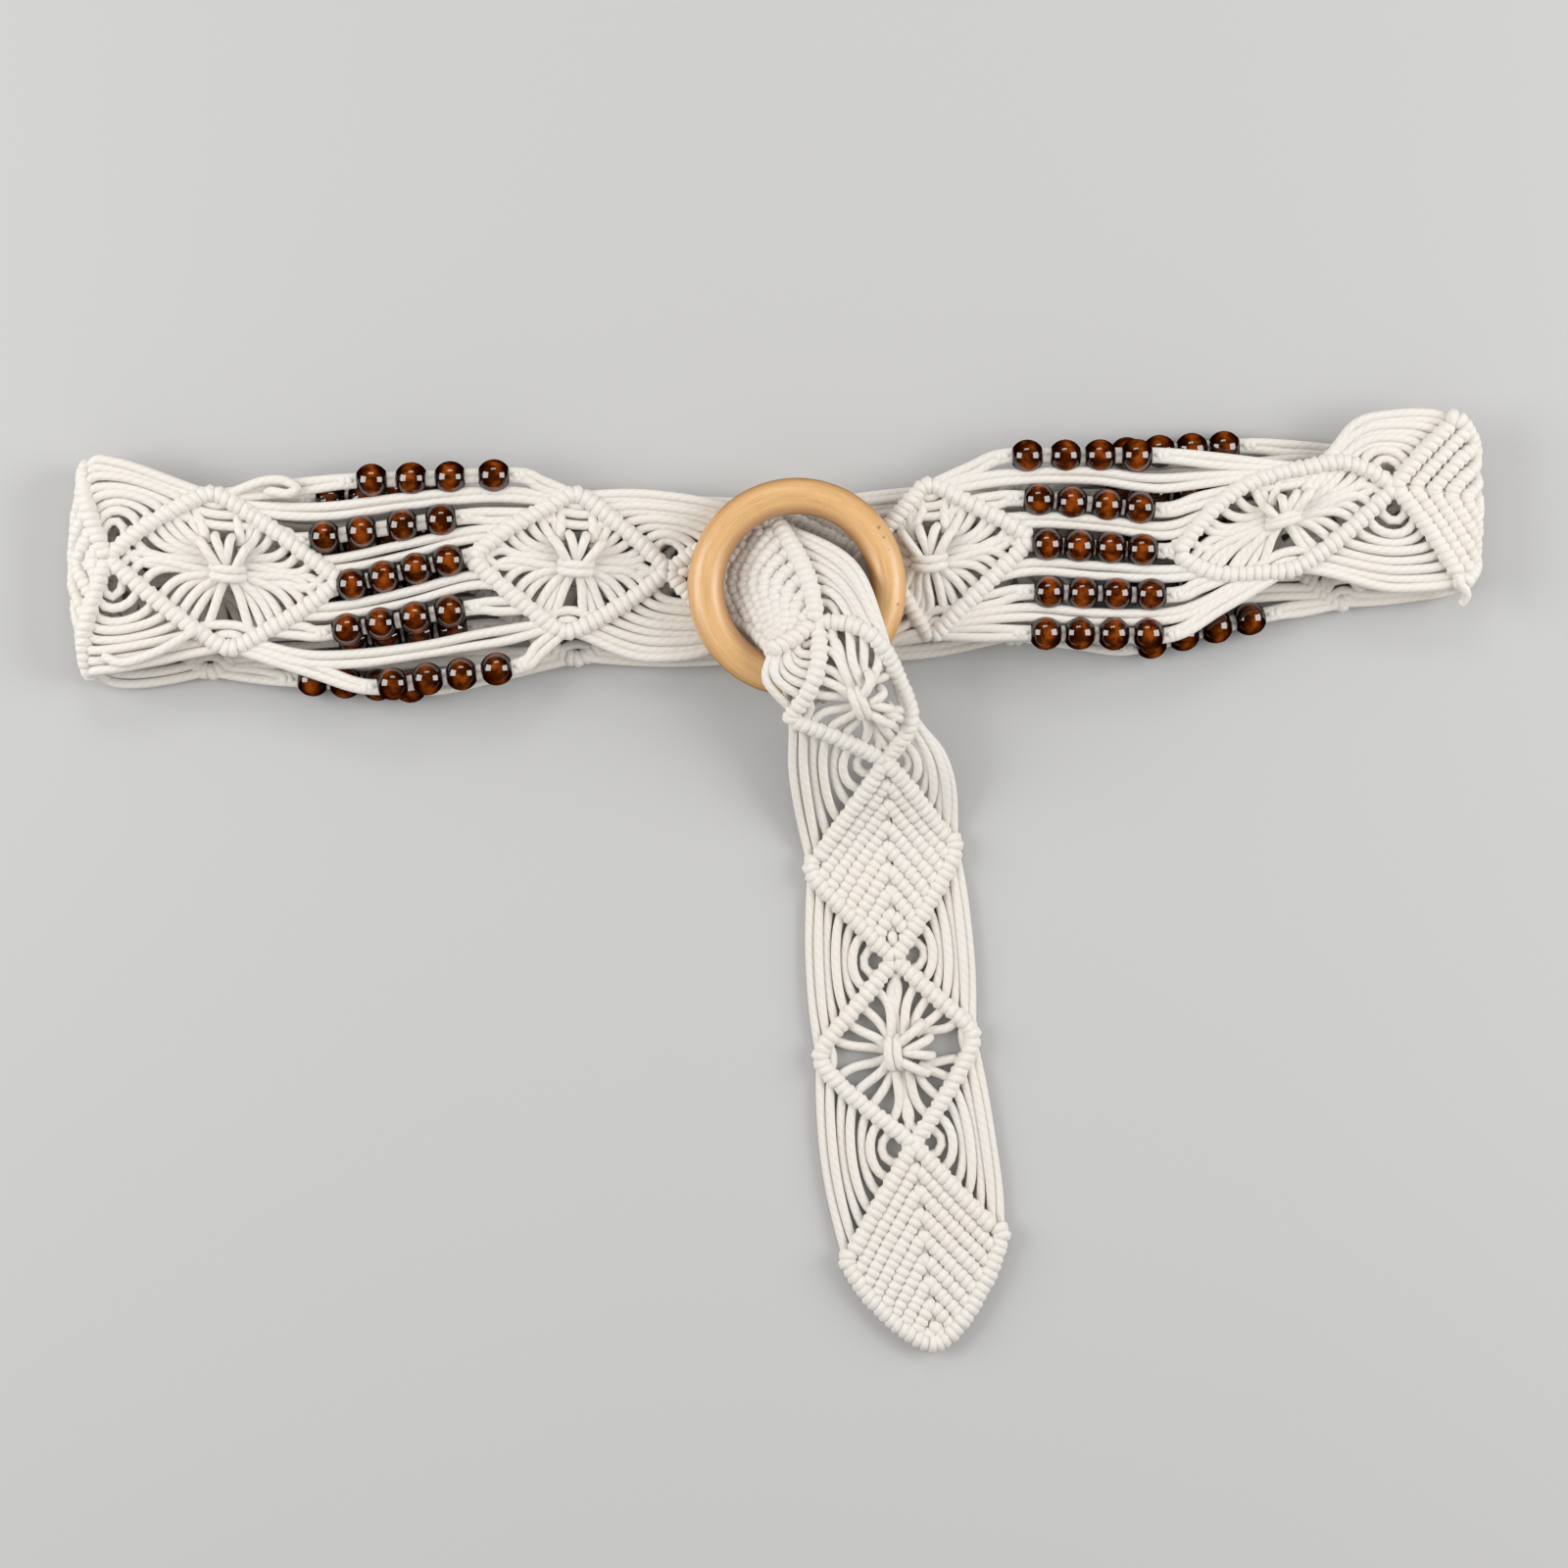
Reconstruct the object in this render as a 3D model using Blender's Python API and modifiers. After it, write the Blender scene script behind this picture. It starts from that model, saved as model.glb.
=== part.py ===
"""Macrame belt: cotton cord knotted in diamonds, strings of wooden beads and a wooden ring.

The belt lies fastened and flat, as a loop of two layers whose tail runs through the ring.
Metres, +Z up, +X to the right of the loop, the floor at Z = 0. The strap is drawn flat and then
laid along a route of sections, each with an upper edge, a middle and a lower edge.
"""

import math

import bmesh
import bpy
import numpy as np
from mathutils import Vector

MM = 0.001
WELD = MM / 100
NUDGE = MM / 10

# Cord and knots
CORD = 3.0 * MM
KNOT_THICK = 5.6 * MM
GAP = 0.3 * MM
JOINT_GAP = 0.8 * MM

# Ring and the bundle of cords that wraps it
RING_OUTER = 66.0 * MM
RING_TUBE = 11.0 * MM
MOUNT_FROM = math.radians(-105.0)
MOUNT_TO = math.radians(-32.0)

# Beads
BEAD_WIDE = 10.2 * MM
BEAD_LONG = 9.3 * MM
BEAD_MOUTH = 4.6 * MM
BEAD_SHOULDER = BEAD_LONG * 0.30
BEADS_IN_STRING = 4
STRING_END = 2 * CORD
STRING_ROOM = 3.3 * MM
STRING_PITCH = BEAD_WIDE + STRING_ROOM
WINDOW_EASE = 0.62 * MM
WINDOW_END = 4 * GAP
WINDOW_SHARES = (-0.5, -0.2, 0.2, 0.5)

# Belt as it lies
LOOP_SPAN = 430.0 * MM
BELT_WIDTH = 54.0 * MM
TAIL_DROP = 231.6 * MM

# Flat pattern
FLAT_HALF = 31.0 * MM
SLIT_WIDE = 1.4 * MM
SLIT_LONG = 11.0 * MM
EYE_WIDE = 4.0 * MM
EYE_LONG = 3.4 * MM
OPEN_FRAME = 0.8
ROWS_END = 1.02
FAN_SLIT_ENDS = (0.2, 0.85)
FAN_SLIT_WIDEST = 0.6

# Fineness of the facets
SLICE_LONG = 24.0 * MM
SLICE_TURN = math.radians(34.0)
TURN_SAMPLES = 7
RING_SEGMENTS = 30
TUBE_SEGMENTS = 10
MOUNT_STATIONS = 9
BEAD_SIDES = 9

# Search for a place in the flat pattern
SAMPLE_PITCH = 4.0 * MM
SAMPLE_ACROSS = (-0.8, -0.4, 0.0, 0.4, 0.8)
SEARCH_STEPS = 12
SHARE_STEP = 0.01

# Heights of the middle of the strap
BACK = KNOT_THICK / 2
BACK_BEADS = BEAD_WIDE / 2
FRONT_BEADS = BEAD_WIDE * 1.5 + GAP
UNDER_RING = KNOT_THICK * 1.5 + GAP
FAN = KNOT_THICK + GAP + CORD / 2
RING_LEVEL = KNOT_THICK + CORD * 2 + GAP * 3 + RING_TUBE / 2
OVER_RING = RING_LEVEL + RING_TUBE / 2 + CORD + GAP * 4 + KNOT_THICK / 2
FAN_HEIGHTS = (FAN / OVER_RING, FAN / OVER_RING, FAN / OVER_RING)

# Sections of the loop: x in shares of LOOP_SPAN from the ring's centre, y in shares of BELT_WIDTH.
# Lift goes from the layer's low place (0) to its place beside the beads (1).
LOOP_COLUMNS = ("name", "upper", "middle", "lower", "layer", "lift")
FRONT_RIGHT = (
    ("right_1_start", (0.050, 0.52), (0.056, 0.17), (0.078, -0.45), "front", 0.0),
    ("right_1_mid", (0.091, 0.62), (0.094, 0.17), (0.096, -0.32), "front", 0.25),
    ("right_1_end", (0.141, 0.73), (0.165, 0.27), (0.151, -0.29), "front", 0.95),
    ("right_beads", (0.204, 0.78), (0.216, 0.23), (0.207, -0.32), "front", 1.0),
    ("right_2_start", (0.263, 0.78), (0.267, 0.19), (0.263, -0.29), "front", 0.97),
    ("right_2_mid", (0.361, 0.70), (0.342, 0.40), (0.347, 0.06), "front", 0.88),
    ("right_2_end", (0.405, 0.97), (0.420, 0.56), (0.424, -0.03), "front", 1.0),
)
FOLD_RIGHT = (
    ("fold_right_mid", (0.462, 0.99), (0.466, 0.50), (0.467, -0.02), "front", 1.0),
    ("fold_right_turn", (0.474, 0.90), (0.479, 0.46), (0.474, 0.01), "turn", 0.0),
    ("fold_right_back", (0.462, 0.86), (0.464, 0.42), (0.462, -0.03), "back", 0.0),
    ("fold_right_end", (0.438, 0.84), (0.441, 0.40), (0.438, -0.06), "back", 0.0),
)
BACK_LAYER = (
    ("back_1_mid", (0.387, 0.84), (0.387, 0.36), (0.387, -0.13), "back", 0.0),
    ("back_1_end", (0.329, 0.84), (0.333, 0.32), (0.333, -0.21), "back", 0.9),
    ("back_beads_1", (0.278, 0.80), (0.278, 0.28), (0.281, -0.28), "back", 1.0),
    ("back_2_start", (0.225, 0.73), (0.225, 0.23), (0.225, -0.35), "back", 0.9),
    ("back_2_mid", (0.155, 0.62), (0.155, 0.17), (0.155, -0.32), "back", 0.0),
    ("back_2_end", (0.085, 0.57), (0.085, 0.12), (0.085, -0.39), "back", 0.0),
    ("mid_back_mid", (0.001, 0.52), (0.001, 0.08), (0.001, -0.41), "back", 0.0),
    ("mid_back_end", (-0.082, 0.52), (-0.082, 0.07), (-0.082, -0.43), "back", 0.0),
    ("back_3_mid", (-0.156, 0.57), (-0.156, 0.06), (-0.156, -0.44), "back", 0.0),
    ("back_3_end", (-0.232, 0.58), (-0.232, 0.04), (-0.232, -0.49), "back", 0.9),
    ("back_beads_2", (-0.292, 0.57), (-0.292, 0.02), (-0.292, -0.53), "back", 1.0),
    ("back_4_start", (-0.351, 0.56), (-0.351, 0.02), (-0.351, -0.53), "back", 0.9),
    ("back_4_mid", (-0.417, 0.57), (-0.417, 0.06), (-0.417, -0.53), "back", 0.0),
    ("back_4_end", (-0.473, 0.65), (-0.477, 0.09), (-0.477, -0.56), "back", 0.0),
)
FOLD_LEFT = (
    ("fold_left_back", (-0.487, 0.71), (-0.494, 0.11), (-0.487, -0.56), "back", 0.0),
    ("fold_left_turn", (-0.497, 0.74), (-0.509, 0.12), (-0.4955, -0.54), "turn", 0.0),
    ("fold_left_mid", (-0.491, 0.76), (-0.498, 0.14), (-0.492, -0.51), "front", 1.0),
)
FRONT_LEFT = (
    ("left_1_start", (-0.480, 0.73), (-0.485, 0.16), (-0.482, -0.49), "front", 1.0),
    ("left_1_mid", (-0.412, 0.57), (-0.400, 0.11), (-0.399, -0.39), "front", 0.9),
    ("left_1_end", (-0.348, 0.61), (-0.322, 0.04), (-0.341, -0.53), "front", 1.0),
    ("left_beads", (-0.278, 0.64), (-0.276, 0.09), (-0.274, -0.54), "front", 1.0),
    ("left_2_start", (-0.208, 0.65), (-0.229, 0.16), (-0.210, -0.49), "front", 0.95),
    ("left_2_mid", (-0.156, 0.57), (-0.156, 0.14), (-0.164, -0.29), "front", 0.35),
    ("left_2_end", (-0.098, 0.54), (-0.091, 0.10), (-0.101, -0.41), "front", 0.0),
)

# Sections by the ring: x and y in shares of RING_OUTER, heights in shares of OVER_RING.
RING_COLUMNS = ("name", "upper", "middle", "lower", "heights")
FAN_PLACES = (
    ("fan_root", (-0.08, -0.40), (0.13, -0.395), (0.31, -0.27), FAN_HEIGHTS),
    ("fan_mid", (0.01, 0.055), (0.24, -0.105), (0.42, -0.255), FAN_HEIGHTS),
)
THROUGH_RING = (
    ("left_arc", (-0.41, 0.41), (-0.41, 0.065), (-0.41, -0.30), (0.29, 0.29, 0.29)),
    ("inside_left", (-0.22, 0.37), (-0.295, 0.045), (-0.295, -0.22), (0.28, 0.35, 0.31)),
    ("buckle_mid", (-0.105, 0.33), (-0.13, 0.01), (-0.135, -0.235), (0.34, 0.62, 0.64)),
    ("buckle_end", (0.25, 0.12), (0.085, -0.17), (-0.135, -0.335), (0.76, 0.84, 0.99)),
    ("crossing", (0.38, -0.17), (0.205, -0.355), (-0.15, -0.445), (1.0, 1.0, 1.0)),
)

# Sections of the tail: x in shares of BELT_WIDTH, y in shares of TAIL_DROP below the ring's
# centre, heights in shares from BACK (0) to OVER_RING (1).
TAIL_COLUMNS = ("name", "upper", "middle", "lower", "heights")
TAIL = (
    ("tail_1_mid", (0.62, 0.146), (0.37, 0.148), (-0.09, 0.171), (0.64, 0.87, 0.80)),
    ("tail_1_end", (0.83, 0.224), (0.49, 0.225), (-0.04, 0.246), (0.40, 0.42, 0.42)),
    ("tail_2_mid", (0.93, 0.335), (0.51, 0.350), (0.03, 0.370), (0.0, 0.0, 0.0)),
    ("tail_2_end", (0.99, 0.470), (0.55, 0.487), (0.06, 0.503), (0.0, 0.0, 0.0)),
    ("tail_3_mid", (1.04, 0.584), (0.58, 0.610), (0.08, 0.617), (0.0, 0.0, 0.0)),
    ("tail_3_end", (1.11, 0.716), (0.66, 0.731), (0.14, 0.749), (0.0, 0.0, 0.0)),
    ("tail_4_mid", (1.21, 0.850), (0.72, 0.872), (0.24, 0.891), (0.0, 0.0, 0.0)),
    ("tail_4_end", (1.26, 0.982), (0.79, 1.000), (0.32, 1.018), (0.0, 0.0, 0.0)),
)

# Solids of the strap and their motifs, each from its first section over its middle to its last.
MOTIF_COLUMNS = ("kind", "first", "middle", "last")
STRAP = (
    ("open_right_front", (
        ("fan", "fan_root", "fan_mid", "right_1_start"),
        ("open", "right_1_start", "right_1_mid", "right_1_end"),
        ("beads", "right_1_end", "right_beads", "right_2_start"),
        ("open", "right_2_start", "right_2_mid", "right_2_end"),
    )),
    ("fold_right", (("filled", "right_2_end", "fold_right_mid", "fold_right_end"),)),
    ("open_right_back", (
        ("open", "fold_right_end", "back_1_mid", "back_1_end"),
        ("beads", "back_1_end", "back_beads_1", "back_2_start"),
        ("open", "back_2_start", "back_2_mid", "back_2_end"),
    )),
    ("mid_back", (("filled", "back_2_end", "mid_back_mid", "mid_back_end"),)),
    ("open_left_back", (
        ("open", "mid_back_end", "back_3_mid", "back_3_end"),
        ("beads", "back_3_end", "back_beads_2", "back_4_start"),
        ("open", "back_4_start", "back_4_mid", "back_4_end"),
    )),
    ("fold_left", (("filled", "back_4_end", "fold_left_turn", "left_1_start"),)),
    ("open_left_front", (
        ("open", "left_1_start", "left_1_mid", "left_1_end"),
        ("beads", "left_1_end", "left_beads", "left_2_start"),
        ("open", "left_2_start", "left_2_mid", "left_2_end"),
    )),
    ("filled_buckle", (("filled", "left_2_end", "buckle_mid", "buckle_end"),)),
    ("tail_open_upper", (("open", "buckle_end", "tail_1_mid", "tail_1_end"),)),
    ("tail_filled_upper", (("filled", "tail_1_end", "tail_2_mid", "tail_2_end"),)),
    ("tail_open_lower", (("open", "tail_2_end", "tail_3_mid", "tail_3_end"),)),
    ("tail_tip", (("tip", "tail_3_end", "tail_4_mid", "tail_4_end"),)),
)

# Strings of beads by the solid that holds them: the group's name, its height and the places of
# the first and of the last bead, x in shares of LOOP_SPAN and y in steps of STRING_PITCH from the
# ring's centre.
STRING_COLUMNS = ("group", "height", "rows")
STRINGS = {
    "open_right_front": ("beads_right_front", FRONT_BEADS, (
        ((0.162, 2.94), (0.239, 2.952)),
        ((0.170, 1.96), (0.241, 1.776)),
        ((0.176, 0.956), (0.243, 0.844)),
        ((0.177, -0.112), (0.249, -0.156)),
        ((0.175, -1.024), (0.247, -1.044)),
    )),
    "open_right_back": ("beads_right_back", BACK_BEADS, (
        ((0.303, 3.20), (0.234, 3.06)),
        ((0.300, 2.24), (0.230, 2.12)),
        ((0.305, 1.28), (0.235, 1.12)),
        ((0.306, 0.32), (0.237, 0.12)),
        ((0.321, -0.668), (0.251, -1.20)),
    )),
    "open_left_back": ("beads_left_back", BACK_BEADS, (
        ((-0.260, 2.176), (-0.330, 2.00)),
        ((-0.264, 1.156), (-0.334, 1.024)),
        ((-0.264, 0.112), (-0.334, 0.00)),
        ((-0.244, -0.90), (-0.314, -1.10)),
        ((-0.274, -2.192), (-0.343, -2.06)),
    )),
    "open_left_front": ("beads_left_front", FRONT_BEADS, (
        ((-0.299, 2.40), (-0.213, 2.50)),
        ((-0.332, 1.132), (-0.250, 1.512)),
        ((-0.313, 0.068), (-0.245, 0.60)),
        ((-0.316, -0.932), (-0.244, -0.532)),
        ((-0.284, -2.156), (-0.211, -1.824)),
    )),
}

# Gaps of an open diamond: places along and across it, in shares of its halves.
CORNER_GAPS = (
    ((0.0, 0.30), (0.20, 0.50), (0.0, 0.76), (-0.20, 0.50)),
    ((0.0, -0.76), (0.20, -0.50), (0.0, -0.30), (-0.20, -0.50)),
    ((0.36, 0.0), (0.54, -0.12), (0.72, 0.0), (0.54, 0.12)),
    ((-0.72, 0.0), (-0.54, -0.12), (-0.36, 0.0), (-0.54, 0.12)),
)
EYE_ACROSS = 0.22
SLIT_ACROSS = (0.52, 0.76)
FAN_SLITS = (-0.5, 0.0, 0.5)
TIP_OUTLINE = ((0.0, 1.0), (0.35, 0.80), (0.72, 0.48), (0.96, 0.16))

COLOURS = {
    "cotton": ((0.80, 0.76, 0.68), 0.85),
    "ring_wood": ((0.62, 0.33, 0.12), 0.45),
    "bead_wood": ((0.07, 0.018, 0.008), 0.18),
}


def mixed(low, high, share):
    return low + (high - low) * share


def named(columns, values):
    return dict(zip(columns, values))


def loop_row(values):
    """A section of the loop: its name, and its upper, middle and lower point."""
    row = named(LOOP_COLUMNS, values)
    heights = {
        "front": mixed(UNDER_RING, FRONT_BEADS, row["lift"]),
        "back": mixed(BACK, BACK_BEADS, row["lift"]),
        "turn": (FRONT_BEADS + BACK) / 2,
    }
    z = heights[row["layer"]]
    points = [(x * LOOP_SPAN, y * BELT_WIDTH, z) for x, y in edges_of(row)]
    return (row["name"], *points)


def ring_row(values):
    """A section by the ring: its name, and its upper, middle and lower point."""
    row = named(RING_COLUMNS, values)
    points = [
        (x * RING_OUTER, y * RING_OUTER, share * OVER_RING)
        for (x, y), share in zip(edges_of(row), row["heights"])
    ]
    return (row["name"], *points)


def tail_row(values):
    """A section of the tail: its name, and its upper, middle and lower point."""
    row = named(TAIL_COLUMNS, values)
    points = [
        (x * BELT_WIDTH, -y * TAIL_DROP, mixed(BACK, OVER_RING, share))
        for (x, y), share in zip(edges_of(row), row["heights"])
    ]
    return (row["name"], *points)


def edges_of(row):
    return (row["upper"], row["middle"], row["lower"])


def route_rows():
    """Every section, from the ring round the loop to the tip."""
    rows = [ring_row(values) for values in FAN_PLACES]
    rows += [
        loop_row(values)
        for values in (*FRONT_RIGHT, *FOLD_RIGHT, *BACK_LAYER, *FOLD_LEFT, *FRONT_LEFT)
    ]
    rows += [ring_row(values) for values in THROUGH_RING]
    rows += [tail_row(values) for values in TAIL]
    return rows


class Route:
    """The smooth surface through the sections, read by length along it and by share across it."""

    def __init__(self, rows):
        self.names = [row[0] for row in rows]
        self.guides = np.array([row[1:] for row in rows])
        steps = np.linalg.norm(np.diff(self.guides[:, 1], axis=0), axis=1)
        self.knots = np.concatenate([[0.0], np.cumsum(steps)])
        self.slopes = self.find_slopes()
        self.sample_places = [
            (along, across)
            for along in np.arange(0.0, self.knots[-1], SAMPLE_PITCH)
            for across in SAMPLE_ACROSS
        ]
        self.samples = np.array([self.point(*place) for place in self.sample_places])

    def find_slopes(self):
        """Slopes of the guides: parabolic in plan, and without overshoot in height."""
        spans = np.diff(self.knots)[:, None, None]
        rises = np.diff(self.guides, axis=0) / spans
        slopes = np.empty_like(self.guides)
        slopes[0] = rises[0]
        slopes[-1] = rises[-1]
        inner = (spans[1:] * rises[:-1] + spans[:-1] * rises[1:]) / (spans[:-1] + spans[1:])
        before = rises[:-1, :, 2]
        after = rises[1:, :, 2]
        same_way = before * after > 0
        total = np.where(same_way, before + after, 1.0)
        inner[:, :, 2] = np.where(same_way, 2 * before * after / total, 0.0)
        slopes[1:-1] = inner
        return slopes

    def station(self, name):
        return self.knots[self.names.index(name)]

    def point(self, along, across):
        """The place at a length along the route and a share from -1 (lower) to 1 (upper)."""
        index = int(np.clip(np.searchsorted(self.knots, along) - 1, 0, len(self.knots) - 2))
        span = self.knots[index + 1] - self.knots[index]
        u = (along - self.knots[index]) / span
        guide = (
            (2 * u**3 - 3 * u**2 + 1) * self.guides[index]
            + (u**3 - 2 * u**2 + u) * span * self.slopes[index]
            + (3 * u**2 - 2 * u**3) * self.guides[index + 1]
            + (u**3 - u**2) * span * self.slopes[index + 1]
        )
        upper, middle, lower = guide
        return (
            upper * across * (across + 1) / 2
            + middle * (1 - across**2)
            + lower * across * (across - 1) / 2
        )

    def flat_place(self, target):
        """The place in the flat pattern that lies under or over a point, found by Newton's steps."""
        nearest = np.linalg.norm(self.samples - np.array(target), axis=1).argmin()
        place = np.array(self.sample_places[int(nearest)])
        goal = np.array(target)[:2]
        for _ in range(SEARCH_STEPS):
            here = self.point(*place)[:2]
            along = (self.point(place[0] + NUDGE, place[1])[:2] - here) / NUDGE
            across = (self.point(place[0], place[1] + SHARE_STEP)[:2] - here) / SHARE_STEP
            place = place + np.linalg.solve(np.column_stack([along, across]), goal - here)
        return float(place[0]), float(place[1] * FLAT_HALF)

    def normal(self, along, across):
        """The outward side of the strap."""
        forward = self.point(along + NUDGE, across) - self.point(along - NUDGE, across)
        sideways = self.point(along, across + SHARE_STEP) - self.point(along, across - SHARE_STEP)
        normal = np.cross(forward, sideways)
        return normal / np.linalg.norm(normal)

    def slices(self, start, end):
        """Lengths at which the strap is cut so that its facets follow the route."""
        cuts = []
        for first, last in zip(self.knots[:-1], self.knots[1:]):
            if last <= start or first >= end:
                continue
            forward = [
                self.point(along + NUDGE, 0.0) - self.point(along, 0.0)
                for along in np.linspace(first, last - NUDGE, TURN_SAMPLES)
            ]
            turn = sum(
                Vector(a).angle(Vector(b)) for a, b in zip(forward[:-1], forward[1:])
            )
            count = max(1, math.ceil((last - first) / SLICE_LONG), math.ceil(turn / SLICE_TURN))
            cuts += [mixed(first, last, i / count) for i in range(count + 1)]
        return [along for along in cuts if start + NUDGE < along < end - NUDGE]


ROUTE = Route(route_rows())


def motif_at(values):
    """A motif with the lengths along the route of its first, middle and last section."""
    kind, *sections = values
    return named(MOTIF_COLUMNS, (kind, *[ROUTE.station(name) for name in sections]))


def material(name):
    colour, roughness = COLOURS[name]
    found = bpy.data.materials.get(name)
    if found is None:
        found = bpy.data.materials.new(name)
        found.use_nodes = True
        shader = found.node_tree.nodes["Principled BSDF"]
        shader.inputs["Base Color"].default_value = (*colour, 1.0)
        shader.inputs["Roughness"].default_value = roughness
        shader.inputs["Metallic"].default_value = 0.0
    return found


def finish_object(name, mesh, material_name, collection, parent):
    mesh.materials.clear()
    mesh.materials.append(material(material_name))
    made = bpy.data.objects.new(name, mesh)
    collection.objects.link(made)
    made.parent = parent
    return made


def string_line(row, height):
    """The middle of a string of beads, its direction, the beads' pitch and its whole length."""
    first, last = (Vector((x * LOOP_SPAN, y * STRING_PITCH, height)) for x, y in row)
    pitch = max((last - first).length / (BEADS_IN_STRING - 1), BEAD_LONG + GAP)
    length = BEADS_IN_STRING * pitch + STRING_END
    return (first + last) / 2, (last - first).normalized(), pitch, length


def window_side(row, height, side):
    """One long side of the window that a string of beads needs, in the flat pattern."""
    middle, direction, _, length = string_line(row, height)
    sideways = Vector((-direction.y, direction.x, 0.0)) * (BEAD_WIDE / 2 + WINDOW_EASE)
    upward = math.copysign(1.0, sideways.y)
    points = []
    for share in WINDOW_SHARES:
        target = middle + direction * share * (length + WINDOW_END) + sideways * upward * side
        points.append(ROUTE.flat_place(target))
    return sorted(points)


def end_notches(along, into):
    """The end of a solid at a joint of two diamonds, with its eyes and slits cut in half."""
    places = [(-share, SLIT_WIDE, SLIT_LONG) for share in reversed(SLIT_ACROSS)]
    places += [(-EYE_ACROSS, EYE_WIDE, EYE_LONG), (EYE_ACROSS, EYE_WIDE, EYE_LONG)]
    places += [(share, SLIT_WIDE, SLIT_LONG) for share in SLIT_ACROSS]
    outline = [(along, -FLAT_HALF)]
    for share, wide, deep in places:
        y = share * FLAT_HALF
        outline += [(along, y - wide / 2), (along + into * deep, y), (along, y + wide / 2)]
    outline.append((along, FLAT_HALF))
    return outline


def edge_notches(strings, side):
    """The notch along one edge that holds the outer string of beads."""
    if not strings:
        return []
    row = strings["rows"][0] if side > 0 else strings["rows"][-1]
    inner = window_side(row, strings["height"], -side)
    outer = window_side(row, strings["height"], side)
    ends = []
    for (x_in, y_in), (x_out, y_out) in zip((inner[0], inner[-1]), (outer[0], outer[-1])):
        share = (side * FLAT_HALF - y_in) / (y_out - y_in)
        ends.append((mixed(x_in, x_out, share), side * FLAT_HALF))
    return [ends[0], *inner, ends[1]]


def outer_outline(motifs, strings):
    """The rim of one solid in the flat pattern, anticlockwise."""
    start = motifs[0]["first"] + JOINT_GAP / 2
    end = motifs[-1]["last"] - JOINT_GAP / 2
    if motifs[0]["kind"] == "fan":
        left = [(start, -FLAT_HALF), (start, FLAT_HALF)]
    else:
        left = end_notches(start, 1)
    lower = edge_notches(strings, -1)
    upper = edge_notches(strings, 1)
    if motifs[-1]["kind"] == "tip":
        shape = [
            (mixed(motifs[-1]["middle"], end, u), t * FLAT_HALF)
            for u, t in TIP_OUTLINE
        ]
        right = [(x, -y) for x, y in shape] + list(reversed(shape))
    else:
        right = end_notches(end, -1)
    return list(reversed(left)) + lower + right + list(reversed(upper))


def inner_outlines(motifs, strings):
    """The gaps that are cut through one solid."""
    gaps = []
    for motif in motifs:
        start, middle, end = motif["first"], motif["middle"], motif["last"]
        if motif["kind"] == "open":
            for gap in CORNER_GAPS:
                gaps.append([
                    (
                        middle + along * (end - middle if along > 0 else middle - start),
                        across * FLAT_HALF,
                    )
                    for along, across in gap
                ])
        if motif["kind"] == "beads":
            for row in strings["rows"][1:-1]:
                upper = window_side(row, strings["height"], 1)
                gaps.append(window_side(row, strings["height"], -1) + upper[::-1])
        if motif["kind"] == "fan":
            low, high = (mixed(start, end, share) for share in FAN_SLIT_ENDS)
            widest = mixed(low, high, FAN_SLIT_WIDEST)
            for across in FAN_SLITS:
                y = across * FLAT_HALF
                gaps.append([(low, y), (widest, y - SLIT_WIDE), (high, y), (widest, y + SLIT_WIDE)])
    return gaps


def flat_solid(outlines):
    """The flat pattern as a closed mesh, from a filled and extruded 2D curve."""
    curve = bpy.data.curves.new("flat_pattern", "CURVE")
    curve.dimensions = "2D"
    curve.fill_mode = "BOTH"
    curve.extrude = CORD / 2
    for outline in outlines:
        spline = curve.splines.new("POLY")
        spline.points.add(len(outline) - 1)
        for point, (x, y) in zip(spline.points, outline):
            point.co = (x, y, 0.0, 1.0)
        spline.use_cyclic_u = True
    helper = bpy.data.objects.new("flat_pattern", curve)
    bpy.context.scene.collection.objects.link(helper)
    graph = bpy.context.evaluated_depsgraph_get()
    mesh = bpy.data.meshes.new_from_object(helper.evaluated_get(graph))
    bpy.data.objects.remove(helper)
    bpy.data.curves.remove(curve)
    return mesh


def cut_along(bm, point, normal, low, high):
    """Cuts the faces between two lengths by an upright plane, and keeps both sides."""
    faces = [
        face for face in bm.faces
        if min(v.co.x for v in face.verts) > low - GAP
        and max(v.co.x for v in face.verts) < high + GAP
    ]
    edges = {edge for face in faces for edge in face.edges}
    verts = {vert for face in faces for vert in face.verts}
    bmesh.ops.bisect_plane(
        bm, geom=faces + list(edges) + list(verts), dist=WELD,
        plane_co=point, plane_no=normal,
    )


def half_thickness(motifs, along, across):
    """Half of the strap's thickness: knotted rows are thick, plain cords are thin."""
    for motif in motifs:
        kind, start, middle, end = (motif[column] for column in MOTIF_COLUMNS)
        if kind in ("fan", "beads") or not start - MM < along < end + MM:
            continue
        reach = end - middle if along > middle else middle - start
        from_middle = abs(along - middle) / reach + abs(across)
        if kind == "tip" and along > middle:
            return KNOT_THICK / 2
        if kind == "open" and from_middle < OPEN_FRAME:
            return CORD / 2
        if from_middle < ROWS_END:
            return KNOT_THICK / 2
    return CORD / 2


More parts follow.
